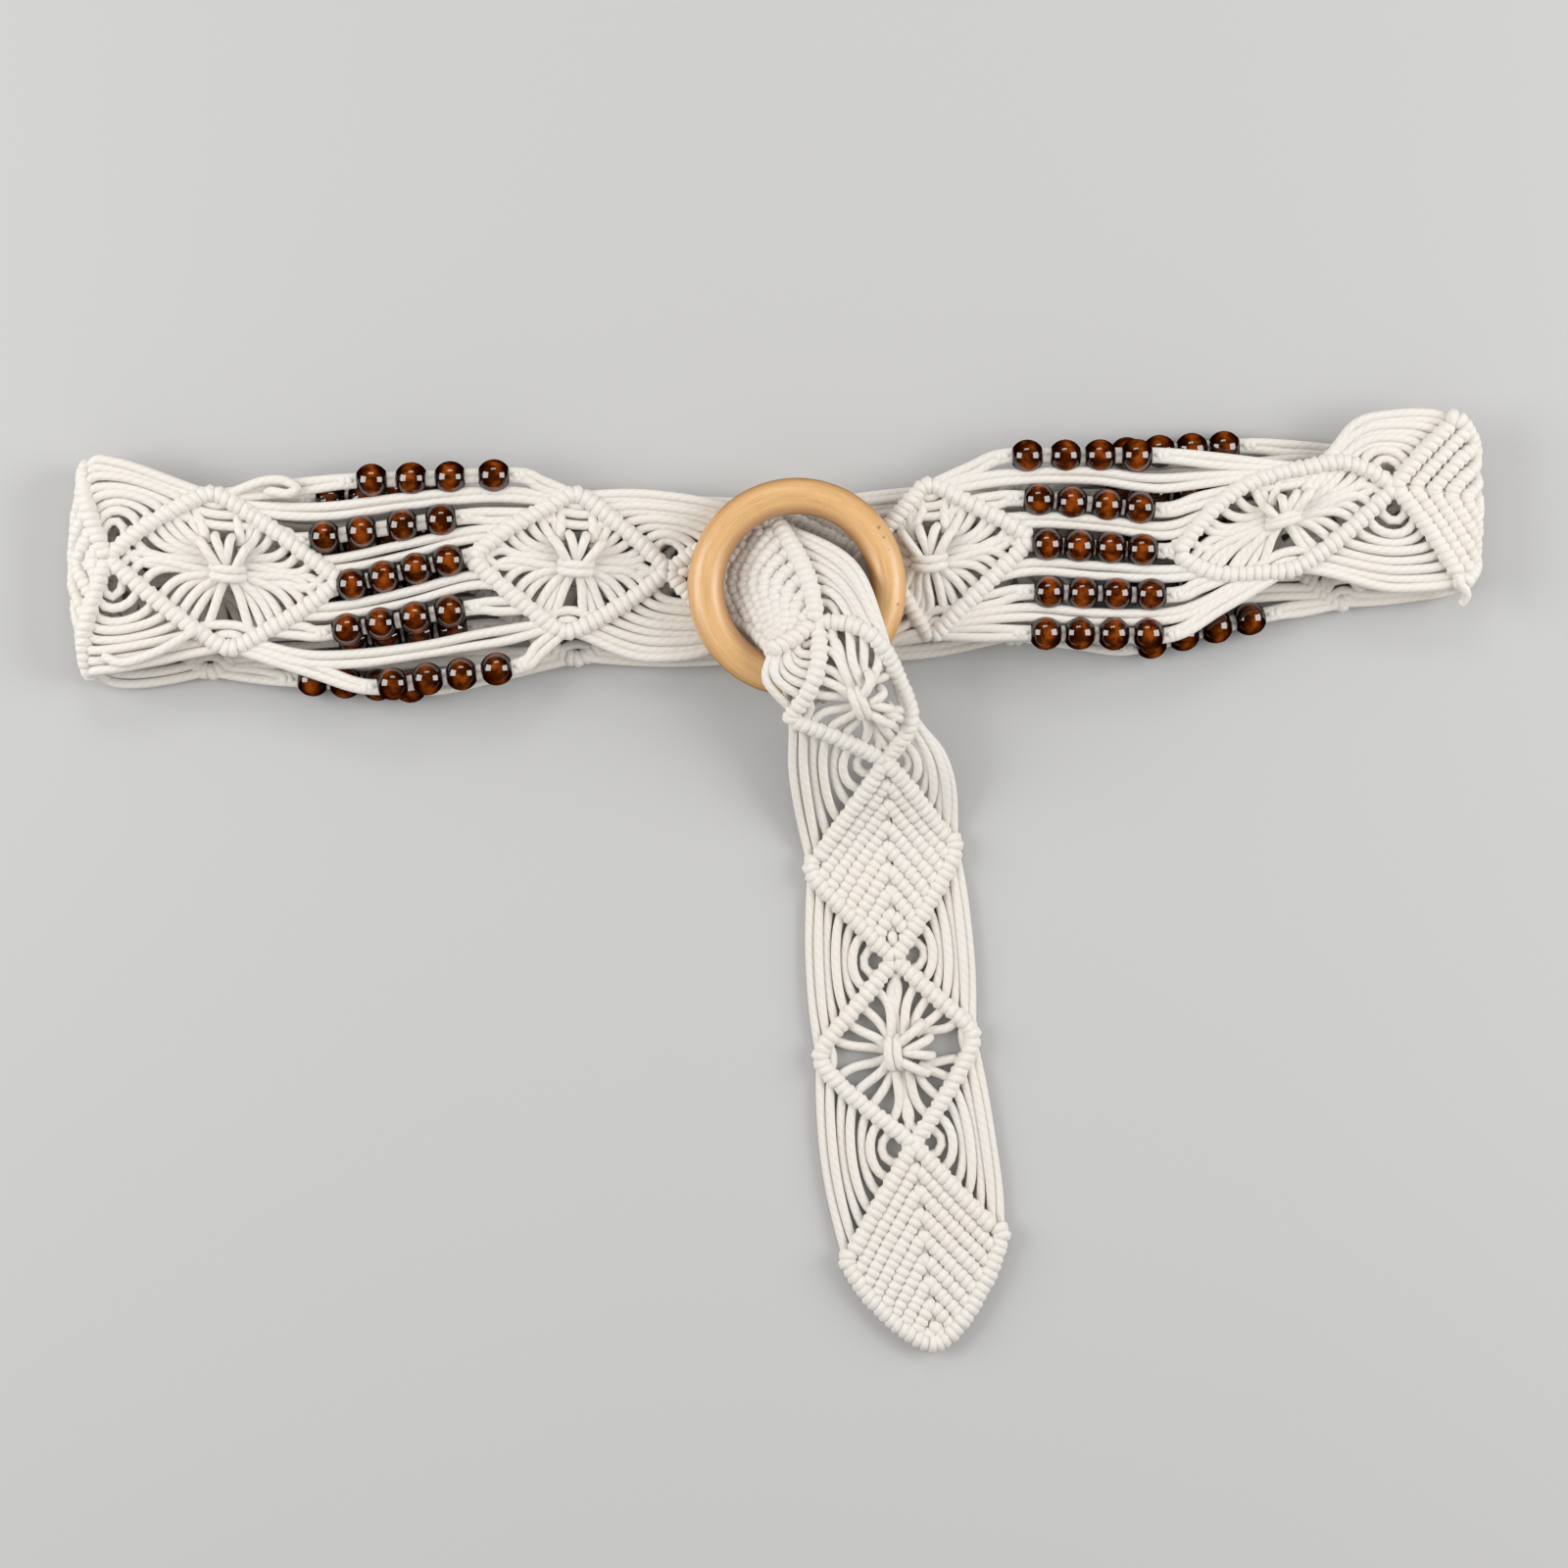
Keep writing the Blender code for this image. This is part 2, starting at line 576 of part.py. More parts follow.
def strap_mesh(name, motifs, strings):
    """One solid of the strap: the flat pattern, sliced and laid along the route."""
    outlines = [outer_outline(motifs, strings), *inner_outlines(motifs, strings)]
    mesh = flat_solid(outlines)
    mesh.name = name
    start = motifs[0]["first"]
    end = motifs[-1]["last"]
    bm = bmesh.new()
    bm.from_mesh(mesh)
    bmesh.ops.remove_doubles(bm, verts=bm.verts, dist=WELD)
    bmesh.ops.recalc_face_normals(bm, faces=bm.faces)
    bmesh.ops.dissolve_limit(bm, angle_limit=math.radians(1), verts=bm.verts, edges=bm.edges)
    for along in ROUTE.slices(start, end):
        cut_along(bm, (along, 0, 0), (1, 0, 0), start, end)
    for motif in motifs:
        kind, first, middle, last = (motif[column] for column in MOTIF_COLUMNS)
        if kind not in ("open", "filled", "tip"):
            continue
        for corner, side in ((first, 1), (first, -1), (last, 1), (last, -1)):
            if kind == "tip" and corner == last:
                continue
            line = Vector((middle - corner, side * FLAT_HALF, 0))
            low, high = sorted((corner, middle))
            cut_along(bm, (corner, 0, 0), (line.y, -line.x, 0), low, high)
    bmesh.ops.triangulate(bm, faces=bm.faces)
    for vert in bm.verts:
        along = vert.co.x
        across = vert.co.y / FLAT_HALF
        half = math.copysign(half_thickness(motifs, along, across), vert.co.z)
        vert.co = ROUTE.point(along, across) + ROUTE.normal(along, across) * half
    bm.to_mesh(mesh)
    bm.free()
    return mesh


def make_ring(collection, parent):
    """The wooden ring, flat, with its centre on the Z axis."""
    bpy.ops.mesh.primitive_torus_add(
        major_radius=(RING_OUTER - RING_TUBE) / 2,
        minor_radius=RING_TUBE / 2,
        major_segments=RING_SEGMENTS,
        minor_segments=TUBE_SEGMENTS,
        location=(0, 0, RING_LEVEL),
    )
    ring = bpy.context.active_object
    ring.name = "ring"
    ring.data.name = "ring"
    ring.data.materials.append(material("ring_wood"))
    ring.data.shade_smooth()
    for owner in list(ring.users_collection):
        owner.objects.unlink(ring)
    collection.objects.link(ring)
    ring.parent = parent
    return ring


def make_mount(collection, cutters, parent):
    """The bundle of cords round the ring: a sleeve, cut out by a slightly fatter ring."""
    curve = bpy.data.curves.new("ring_mount", "CURVE")
    curve.dimensions = "3D"
    curve.bevel_depth = RING_TUBE / 2 + GAP + CORD
    curve.bevel_resolution = 2
    curve.use_fill_caps = True
    spline = curve.splines.new("POLY")
    spline.points.add(MOUNT_STATIONS - 1)
    radius = (RING_OUTER - RING_TUBE) / 2
    for index, point in enumerate(spline.points):
        angle = mixed(MOUNT_FROM, MOUNT_TO, index / (MOUNT_STATIONS - 1))
        point.co = (radius * math.cos(angle), radius * math.sin(angle), RING_LEVEL, 1.0)
    helper = bpy.data.objects.new("ring_mount_curve", curve)
    bpy.context.scene.collection.objects.link(helper)
    graph = bpy.context.evaluated_depsgraph_get()
    mesh = bpy.data.meshes.new_from_object(helper.evaluated_get(graph))
    bpy.data.objects.remove(helper)
    bm = bmesh.new()
    bm.from_mesh(mesh)
    bmesh.ops.remove_doubles(bm, verts=bm.verts, dist=WELD)
    bm.to_mesh(mesh)
    bm.free()
    mount = finish_object("ring_mount", mesh, "cotton", collection, parent)
    bpy.ops.mesh.primitive_torus_add(
        major_radius=radius,
        minor_radius=RING_TUBE / 2 + GAP,
        major_segments=RING_SEGMENTS,
        minor_segments=TUBE_SEGMENTS,
        location=(0, 0, RING_LEVEL),
    )
    cutter = bpy.context.active_object
    cutter.name = "ring_mount_cutter"
    cutter.hide_render = True
    cutter.display_type = "WIRE"
    for owner in list(cutter.users_collection):
        owner.objects.unlink(cutter)
    cutters.objects.link(cutter)
    cutter.parent = parent
    cut = mount.modifiers.new("bore", "BOOLEAN")
    cut.operation = "DIFFERENCE"
    cut.object = cutter
    return mount


def string_profile(pitch, length):
    """Half of a string of beads in section: radius and place along it, from top to bottom."""
    mouth = BEAD_MOUTH / 2
    profile = [(0.0, length / 2), (mouth, length / 2), (mouth, BEADS_IN_STRING * pitch / 2)]
    for index in range(BEADS_IN_STRING):
        centre = ((BEADS_IN_STRING - 1) / 2 - index) * pitch
        profile += [
            (BEAD_WIDE / 2, centre + BEAD_SHOULDER),
            (BEAD_WIDE / 2, centre - BEAD_SHOULDER),
            (mouth, centre - pitch / 2),
        ]
    profile += [(mouth, -length / 2), (0.0, -length / 2)]
    return profile


def make_string(name, row, height, collection, parent):
    """Four beads on their two cords, turned as one body and laid in its window."""
    middle, direction, pitch, length = string_line(row, height)
    mesh = bpy.data.meshes.new(name)
    points = [(radius, 0.0, z) for radius, z in string_profile(pitch, length)]
    mesh.from_pydata(points, [(i, i + 1) for i in range(len(points) - 1)], [])
    string = finish_object(name, mesh, "bead_wood", collection, parent)
    turn = string.modifiers.new("turn", "SCREW")
    turn.axis = "Z"
    turn.steps = BEAD_SIDES
    turn.render_steps = BEAD_SIDES
    turn.use_merge_vertices = True
    turn.merge_threshold = WELD
    string.location = middle
    string.rotation_mode = "QUATERNION"
    string.rotation_quaternion = direction.to_track_quat("Z", "Y")
    return string


def stand_on_floor(root, parts):
    """Moves the empty so that the origin is under the middle of the whole belt."""
    bpy.context.view_layer.update()
    corners = [
        part.matrix_world @ vert.co
        for part in parts
        for vert in part.data.vertices
    ]
    low = Vector([min(corner[axis] for corner in corners) for axis in range(3)])
    high = Vector([max(corner[axis] for corner in corners) for axis in range(3)])
    root.location = (-(low.x + high.x) / 2, -(low.y + high.y) / 2, -low.z)


def main():
    for old in list(bpy.data.objects):
        bpy.data.objects.remove(old)
    collection = bpy.data.collections.new("macrame_belt")
    cutters = bpy.data.collections.new("cutters")
    cutters.hide_render = True
    bpy.context.scene.collection.children.link(collection)
    bpy.context.scene.collection.children.link(cutters)
    root = bpy.data.objects.new("belt_origin", None)
    collection.objects.link(root)
    parts = [make_ring(collection, root)]
    make_mount(collection, cutters, root)
    for name, rows in STRAP:
        motifs = [motif_at(values) for values in rows]
        strings = named(STRING_COLUMNS, STRINGS.get(name, ()))
        mesh = strap_mesh(name, motifs, strings)
        parts.append(finish_object(name, mesh, "cotton", collection, root))
        for number, row in enumerate(strings.get("rows", ()), 1):
            label = f"{strings['group']}_{number}"
            make_string(label, row, strings["height"], collection, root)
    stand_on_floor(root, parts)


main()
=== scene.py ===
"""Looks of a macrame belt: knotted cotton cords, strings of wooden beads and a wooden ring.

The cords are drawn on the flat strap, as a length along it, a distance across it and a height, and
are then laid along the route of sections that the solids follow. Metres, in the frame's own axes.
"""

import math

import bmesh
import bpy
import numpy as np
from bpy.props import FloatProperty, FloatVectorProperty, IntProperty, PointerProperty
from bpy.types import Operator, Panel, PropertyGroup
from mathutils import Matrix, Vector


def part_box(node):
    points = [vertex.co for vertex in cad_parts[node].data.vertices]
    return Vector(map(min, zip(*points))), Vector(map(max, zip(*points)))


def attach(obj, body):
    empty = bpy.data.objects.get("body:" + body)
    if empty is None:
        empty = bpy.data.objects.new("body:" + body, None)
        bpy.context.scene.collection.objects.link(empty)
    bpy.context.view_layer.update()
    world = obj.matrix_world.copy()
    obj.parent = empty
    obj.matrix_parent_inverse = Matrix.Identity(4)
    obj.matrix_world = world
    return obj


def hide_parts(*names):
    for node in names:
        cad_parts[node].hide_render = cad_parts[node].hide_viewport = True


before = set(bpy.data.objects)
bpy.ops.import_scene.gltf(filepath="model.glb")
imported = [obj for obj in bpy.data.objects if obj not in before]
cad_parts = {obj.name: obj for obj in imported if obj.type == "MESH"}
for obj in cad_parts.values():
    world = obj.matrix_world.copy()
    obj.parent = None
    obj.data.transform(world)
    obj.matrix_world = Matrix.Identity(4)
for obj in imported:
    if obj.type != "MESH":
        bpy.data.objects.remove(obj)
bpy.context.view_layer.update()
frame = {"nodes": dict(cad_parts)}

bl_info = {
    "name": "Macrame belt",
    "version": (1, 0, 0),
    "blender": (4, 5, 0),
    "location": "3D View > Sidebar > Belt",
    "description": "Knotted cords, wooden beads, a wooden ring and the studio of a macrame belt",
    "category": "Add Mesh",
}

MM = 0.001

# Sizes that the solids follow
CORD = 3.0 * MM
KNOT_THICK = 5.6 * MM
GAP = 0.3 * MM
RING_OUTER = 66.0 * MM
RING_TUBE = 11.0 * MM
BEAD_WIDE = 10.2 * MM
BEAD_LONG = 9.3 * MM
BEADS_IN_STRING = 4
STRING_ROOM = 3.3 * MM
STRING_PITCH = BEAD_WIDE + STRING_ROOM
LOOP_SPAN = 430.0 * MM
BELT_WIDTH = 54.0 * MM
HALF = BELT_WIDTH / 2
TAIL_DROP = 231.6 * MM
BACK = KNOT_THICK / 2
BACK_BEADS = BEAD_WIDE / 2
FRONT_BEADS = BEAD_WIDE * 1.5 + GAP
UNDER_RING = KNOT_THICK * 1.5 + GAP
FAN = KNOT_THICK + GAP + CORD / 2
RING_LEVEL = KNOT_THICK + CORD * 2 + GAP * 3 + RING_TUBE / 2
OVER_RING = RING_LEVEL + RING_TUBE / 2 + CORD + GAP * 4 + KNOT_THICK / 2
FAN_HEIGHTS = (FAN / OVER_RING, FAN / OVER_RING, FAN / OVER_RING)

# Sections of the loop: name, upper, middle and lower place, layer and lift. The places are shares
# of LOOP_SPAN and of BELT_WIDTH from the ring's centre.
LOOP = (
    ("right_1_start", (0.050, 0.52), (0.056, 0.17), (0.078, -0.45), "front", 0.0),
    ("right_1_mid", (0.091, 0.62), (0.094, 0.17), (0.096, -0.32), "front", 0.25),
    ("right_1_end", (0.141, 0.73), (0.165, 0.27), (0.151, -0.29), "front", 0.95),
    ("right_beads", (0.204, 0.78), (0.216, 0.23), (0.207, -0.32), "front", 1.0),
    ("right_2_start", (0.263, 0.78), (0.267, 0.19), (0.263, -0.29), "front", 0.97),
    ("right_2_mid", (0.361, 0.70), (0.342, 0.40), (0.347, 0.06), "front", 0.88),
    ("right_2_end", (0.405, 0.97), (0.420, 0.56), (0.424, -0.03), "front", 1.0),
    ("fold_right_mid", (0.462, 0.99), (0.466, 0.50), (0.467, -0.02), "front", 1.0),
    ("fold_right_turn", (0.474, 0.90), (0.479, 0.46), (0.474, 0.01), "turn", 0.0),
    ("fold_right_back", (0.462, 0.86), (0.464, 0.42), (0.462, -0.03), "back", 0.0),
    ("fold_right_end", (0.438, 0.84), (0.441, 0.40), (0.438, -0.06), "back", 0.0),
    ("back_1_mid", (0.387, 0.84), (0.387, 0.36), (0.387, -0.13), "back", 0.0),
    ("back_1_end", (0.329, 0.84), (0.333, 0.32), (0.333, -0.21), "back", 0.9),
    ("back_beads_1", (0.278, 0.80), (0.278, 0.28), (0.281, -0.28), "back", 1.0),
    ("back_2_start", (0.225, 0.73), (0.225, 0.23), (0.225, -0.35), "back", 0.9),
    ("back_2_mid", (0.155, 0.62), (0.155, 0.17), (0.155, -0.32), "back", 0.0),
    ("back_2_end", (0.085, 0.57), (0.085, 0.12), (0.085, -0.39), "back", 0.0),
    ("mid_back_mid", (0.001, 0.52), (0.001, 0.08), (0.001, -0.41), "back", 0.0),
    ("mid_back_end", (-0.082, 0.52), (-0.082, 0.07), (-0.082, -0.43), "back", 0.0),
    ("back_3_mid", (-0.156, 0.57), (-0.156, 0.06), (-0.156, -0.44), "back", 0.0),
    ("back_3_end", (-0.232, 0.58), (-0.232, 0.04), (-0.232, -0.49), "back", 0.9),
    ("back_beads_2", (-0.292, 0.57), (-0.292, 0.02), (-0.292, -0.53), "back", 1.0),
    ("back_4_start", (-0.351, 0.56), (-0.351, 0.02), (-0.351, -0.53), "back", 0.9),
    ("back_4_mid", (-0.417, 0.57), (-0.417, 0.06), (-0.417, -0.53), "back", 0.0),
    ("back_4_end", (-0.473, 0.65), (-0.477, 0.09), (-0.477, -0.56), "back", 0.0),
    ("fold_left_back", (-0.487, 0.71), (-0.494, 0.11), (-0.487, -0.56), "back", 0.0),
    ("fold_left_turn", (-0.497, 0.74), (-0.509, 0.12), (-0.4955, -0.54), "turn", 0.0),
    ("fold_left_mid", (-0.491, 0.76), (-0.498, 0.14), (-0.492, -0.51), "front", 1.0),
    ("left_1_start", (-0.480, 0.73), (-0.485, 0.16), (-0.482, -0.49), "front", 1.0),
    ("left_1_mid", (-0.412, 0.57), (-0.400, 0.11), (-0.399, -0.39), "front", 0.9),
    ("left_1_end", (-0.348, 0.61), (-0.322, 0.04), (-0.341, -0.53), "front", 1.0),
    ("left_beads", (-0.278, 0.64), (-0.276, 0.09), (-0.274, -0.54), "front", 1.0),
    ("left_2_start", (-0.208, 0.65), (-0.229, 0.16), (-0.210, -0.49), "front", 0.95),
    ("left_2_mid", (-0.156, 0.57), (-0.156, 0.14), (-0.164, -0.29), "front", 0.35),
    ("left_2_end", (-0.098, 0.54), (-0.091, 0.10), (-0.101, -0.41), "front", 0.0),
)

# Sections by the ring: name, upper, middle and lower place in shares of RING_OUTER, and heights in
# shares of OVER_RING.
FAN_PLACES = (
    ("fan_root", (-0.08, -0.40), (0.13, -0.395), (0.31, -0.27), FAN_HEIGHTS),
    ("fan_mid", (0.01, 0.055), (0.24, -0.105), (0.42, -0.255), FAN_HEIGHTS),
)
THROUGH_RING = (
    ("left_arc", (-0.41, 0.41), (-0.41, 0.065), (-0.41, -0.30), (0.29, 0.29, 0.29)),
    ("inside_left", (-0.22, 0.37), (-0.295, 0.045), (-0.295, -0.22), (0.28, 0.35, 0.31)),
    ("buckle_mid", (-0.105, 0.33), (-0.13, 0.01), (-0.135, -0.30), (0.34, 0.62, 0.64)),
    ("buckle_end", (0.25, 0.12), (0.085, -0.17), (-0.135, -0.335), (0.76, 0.84, 0.99)),
    ("crossing", (0.38, -0.17), (0.205, -0.355), (-0.15, -0.445), (1.0, 1.0, 1.0)),
)

# Sections of the tail: name, upper, middle and lower place in shares of BELT_WIDTH and of TAIL_DROP
# below the ring's centre, and heights in shares from BACK to OVER_RING.
TAIL = (
    ("tail_1_mid", (0.62, 0.146), (0.37, 0.148), (-0.09, 0.171), (0.64, 0.87, 0.80)),
    ("tail_1_end", (0.83, 0.224), (0.49, 0.225), (-0.04, 0.246), (0.40, 0.42, 0.42)),
    ("tail_2_mid", (0.93, 0.335), (0.51, 0.350), (0.03, 0.370), (0.0, 0.0, 0.0)),
    ("tail_2_end", (0.99, 0.470), (0.55, 0.487), (0.06, 0.503), (0.0, 0.0, 0.0)),
    ("tail_3_mid", (1.04, 0.584), (0.58, 0.610), (0.08, 0.617), (0.0, 0.0, 0.0)),
    ("tail_3_end", (1.11, 0.716), (0.66, 0.731), (0.14, 0.749), (0.0, 0.0, 0.0)),
    ("tail_4_mid", (1.21, 0.850), (0.72, 0.872), (0.24, 0.891), (0.0, 0.0, 0.0)),
    ("tail_4_end", (1.26, 0.982), (0.79, 1.000), (0.32, 1.018), (0.0, 0.0, 0.0)),
)

# Diamonds in their order along the strap: the solid that they belong to, kind, first section,
# middle section and last section.
DIAMONDS = (
    ("open_right_front", "open", "right_1_start", "right_1_mid", "right_1_end"),
    ("open_right_front", "open", "right_2_start", "right_2_mid", "right_2_end"),
    ("fold_right", "filled", "right_2_end", "fold_right_mid", "fold_right_end"),
    ("open_right_back", "open", "fold_right_end", "back_1_mid", "back_1_end"),
    ("open_right_back", "open", "back_2_start", "back_2_mid", "back_2_end"),
    ("mid_back", "filled", "back_2_end", "mid_back_mid", "mid_back_end"),
    ("open_left_back", "open", "mid_back_end", "back_3_mid", "back_3_end"),
    ("open_left_back", "open", "back_4_start", "back_4_mid", "back_4_end"),
    ("fold_left", "filled", "back_4_end", "fold_left_turn", "left_1_start"),
    ("open_left_front", "open", "left_1_start", "left_1_mid", "left_1_end"),
    ("open_left_front", "open", "left_2_start", "left_2_mid", "left_2_end"),
    ("filled_buckle", "curved", "left_2_end", "buckle_mid", "buckle_end"),
    ("tail_open_upper", "open", "buckle_end", "tail_1_mid", "tail_1_end"),
    ("tail_filled_upper", "filled", "tail_1_end", "tail_2_mid", "tail_2_end"),
    ("tail_open_lower", "open", "tail_2_end", "tail_3_mid", "tail_3_end"),
    ("tail_tip", "tip", "tail_3_end", "tail_4_mid", "tail_4_end"),
)

# Cords that have worked loose: the first section of their diamond, their thickness, and points as
# the place along, the share across and the height in mm.
LOOSE_CORDS = (
    ("left_1_start", 1.0, (
        (-1.06, -0.93, 0.4), (-0.86, -1.03, 2.4), (-0.56, -0.98, 3.6), (-0.34, -0.84, 3.2),
        (-0.22, -0.74, -0.4),
    )),
    ("left_1_start", 0.9, (
        (0.06, 0.96, -0.6), (0.34, 1.06, 1.6), (0.66, 1.12, 2.6), (0.86, 1.10, 2.8),
        (0.92, 1.01, 2.4), (0.82, 0.96, 2.8), (0.70, 1.0, 2.2), (0.62, 1.02, -0.6),
    )),
    ("right_2_end", 1.5, (
        (-0.18, -0.86, 1.2), (0.0, -1.06, 1.6), (0.10, -1.20, 0.4), (0.14, -1.30, -1.2),
    )),
)

# Strings of beads, by the solid that holds them: the group's name, its height and the places of
# the first and the last bead of each string, in shares of LOOP_SPAN and in steps of STRING_PITCH.
STRINGS = {
    "open_right_front": ("beads_right_front", FRONT_BEADS, (
        ((0.162, 2.94), (0.239, 2.952)),
        ((0.170, 1.96), (0.241, 1.776)),
        ((0.176, 0.956), (0.243, 0.844)),
        ((0.177, -0.112), (0.249, -0.156)),
        ((0.175, -1.024), (0.247, -1.044)),
    )),
    "open_right_back": ("beads_right_back", BACK_BEADS, (
        ((0.303, 3.20), (0.234, 3.06)),
        ((0.300, 2.24), (0.230, 2.12)),
        ((0.305, 1.28), (0.235, 1.12)),
        ((0.306, 0.32), (0.237, 0.12)),
        ((0.321, -0.668), (0.251, -1.20)),
    )),
    "open_left_back": ("beads_left_back", BACK_BEADS, (
        ((-0.260, 2.176), (-0.330, 2.00)),
        ((-0.264, 1.156), (-0.334, 1.024)),
        ((-0.264, 0.112), (-0.334, 0.00)),
        ((-0.244, -0.90), (-0.314, -1.10)),
        ((-0.274, -2.192), (-0.343, -2.06)),
    )),
    "open_left_front": ("beads_left_front", FRONT_BEADS, (
        ((-0.299, 2.40), (-0.213, 2.50)),
        ((-0.332, 1.132), (-0.250, 1.512)),
        ((-0.313, 0.068), (-0.245, 0.60)),
        ((-0.316, -0.932), (-0.244, -0.532)),
        ((-0.284, -2.156), (-0.211, -1.824)),
    )),
}

# Search for a place on the route: the samples' pitch along it and their shares across it, the
# number of steps, and how far aside each step looks, as a length and as a share
SAMPLE_PITCH = 4.0 * MM
SAMPLE_ACROSS = np.linspace(-0.8, 0.8, 5)
SEARCH_STEPS = 12
NUDGE = MM / 10
SHARE_STEP = 0.01

# Start of every random draw
SEED = 7

# Points of a cord lie about this far apart
STEP = 1.9 * MM

# How many cords there are, in the loop and in the tail: in each fan of an open diamond, beside a
# diamond, and as short arcs at an open diamond's upper (1) and lower (-1) corner. The last is the
# number that start on each half of the ring's lower arc.
FAN_COUNT = {"loop": 8, "tail": 5}
SIDE_COUNT = {"loop": 8, "tail": 7}
ARC_COUNT = {"loop": {1: 3, -1: 2}, "tail": {1: 1, -1: 1}}
FAN_CORDS = 7

# Wraps of a row: their pitch, how much they spread along it, their lean, how unevenly they lie,
# lean and swell, the thickness of the core inside them, and how far rows lie above the plain cords
WRAP_PITCH = 2.4 * MM
WRAP_SPREAD = 1.22
WRAP_LEAN = math.radians(20)
WRAP_SHIFT = 0.12 * MM
WRAP_WANDER = 0.06
WRAP_SWELL = 0.03
CORE_GIRTH = 1.35
ROPE_LIFT = 0.5 * MM

# Borders: how far inside the belt's edge they stay, how round their side corners are, how near
# they come to their ends, how many points they have, and how far below them the fans' cords start
BORDER_INSET = 0.10
BORDER_ROUND = 0.14
BORDER_END = 0.985
TIP_END = 0.97
BORDER_POINTS = 61
UNDER_BORDER = 0.6 * MM

# Outline of the tip below its middle: places, and shares of the height there
TIP_OUTLINE = ((0.0, 0.35, 0.72, 0.96, 1.0), (1.0, 0.80, 0.48, 0.16, 0.0))
TIP_REACH = 0.95

# Rows of a filled diamond: their pitch, their overlap, how far they stay inside the border, how
# high the first one lies, and the points from the middle to the edge, with those that every other
# row leaves out there and the least that a row has
ROW_PITCH = 4.25 * MM
ROW_OVERLAP = 1.30
ROW_MARGIN = 0.08
ROW_REACH = 0.9
FIRST_ROW_LIFT = 0.6 * MM
ROW_POINTS = 101
ROW_STAGGER = 3
ROW_LEAST = 9

# The cord under the rows' apexes, and the wrap on each apex
SPINE_END = 0.93
SPINE_GIRTH = 1.5
SPINE_UNDER = 0.3 * MM
APEX_AHEAD = 0.8 * MM
APEX_HIGH = 0.98

# Closing rows: their size, their height, how far past the side corner they start, and their points
CLOSING_WIDE = 1.06
CLOSING_HIGH = 1.14
CLOSING_LIFT = 0.2 * MM
CLOSING_OVERLAP = 0.12
CLOSING_POINTS = 45

# Short arcs by an open diamond's upper and lower corner: their places on the border, the least and
# the most that they sag in mm, how far below the border they start, how far they run straight on
# and how much they rise
ARCS = (0.17, 0.31, 0.45)
ARC_SAG = (1.5, 3.0)
ARC_UNDER = 0.5 * MM
ARC_AHEAD = 0.35
ARC_RISE = 0.3 * MM

# Fan cords: places on the border of the first and the last, their wander, how far they run
# straight, how they arrive, their two layers, how much they rise, and where they end behind the
# knot, by the side and in mm
FAN_SPREAD = (0.90, 0.24)
FAN_WANDER = 0.014
FAN_START = (0.34, 0.54)
FAN_TURN = ((0.62, 0.45), (0.02, 0.36))
FAN_LAYERS = (-0.6 * MM, 0.7 * MM)
FAN_RISE = 0.5 * MM
FAN_ENDS = {1: ((3.0, 4.8), (0.4, 7.4)), -1: ((4.2, 1.2), (1.0, 4.0))}

# Side cords: shares of the border where the first and the last start, how far below it, how far
# out they bow in shares of HALF, how far they run straight on, their two layers, their thickness,
# and how unevenly they start and bow
SIDE_RISE = (0.15, 0.95)
SIDE_UNDER = 0.7 * MM
SIDE_BOW = (0.36, 0.965)
SIDE_AHEAD = (0.02, 0.30)
SIDE_LAYERS = (-0.1 * MM, 1.2 * MM)
SIDE_GIRTH = 0.97
SIDE_WANDER = (0.006, 0.35 * MM)

# Cords of the bead stretches. Strings: how far past the end beads they come together, the two
# small wraps there as distance and lean, how far apart their two cords lie, where and how many
# times wider they bow before the border, and how near the side corners and how far apart they
# leave the borders. Pairs between them: the same, with how unevenly and how high they lie.
STRING_END = 2.2 * MM
STRING_KNOTS = ((0.2 * MM, 0.5), (-1.6 * MM, -0.45))
STRING_KNOT_SIZE = (1.0, 0.72, 0.72)
STRING_APART = 0.95 * MM
STRING_BOW = (0.55, 1.8)
STRING_GIRTH = 0.78
STRING_EDGE = (0.93, 0.055)
PAIR_APART = 1.25 * MM
PAIR_EDGE = (0.9, 0.05)
PAIR_WANDER = 0.3 * MM
PAIR_LAYER = 0.5 * MM

# Cords that start on the ring's hidden arc: the arc in degrees, their shares across the belt, how
# far they run straight on, the points of a loop round the ring, and where a cord leaves its loop, in
# shares of the loop's reach towards the ring's middle and down
MOUNT_ARC = (-95.0, -36.0)
FIRST_CORDS = (0.06, 0.95)
FIRST_REACH = 0.96
ROOT_LENGTH = 3 * MM
LOOP_POINTS = 24
LOOP_LEAVE = (0.55, 0.85)

# Beads: how round the barrel is (1 is a ball), places and radii of the profile at the bore's mouth,
# places of its barrel, how far the inner beads slide along the string, and how unevenly they lean
# and differ in size
BEAD_ROUND = 1.12
BEAD_MOUTH = ((0.98, 0.40), (0.91, 0.37))
BEAD_PLACES = (0.0, 0.15, 0.3, 0.44, 0.57, 0.69, 0.8, 0.89, 0.96, 1.0)
BEAD_SLIDE = 0.45
BEAD_LEAN = 0.05
BEAD_SHRINK = 0.014

# Facets of a cord, of a wrap's hoop and of the ring; the ring's seam lies under the tail
CORD_FACETS = 8
HOOP_STEPS = 11
HOOP_FACETS = 6
RING_STEPS = 128
RING_FACETS = 32
RING_SEAM = math.radians(-68)

# Cotton: its second colour, and the plies and the threads round a cord with their turn's length
WARM_COTTON = (0.758, 0.706, 0.636)
TWISTS = ((3, 9 * MM), (13, 24 * MM))

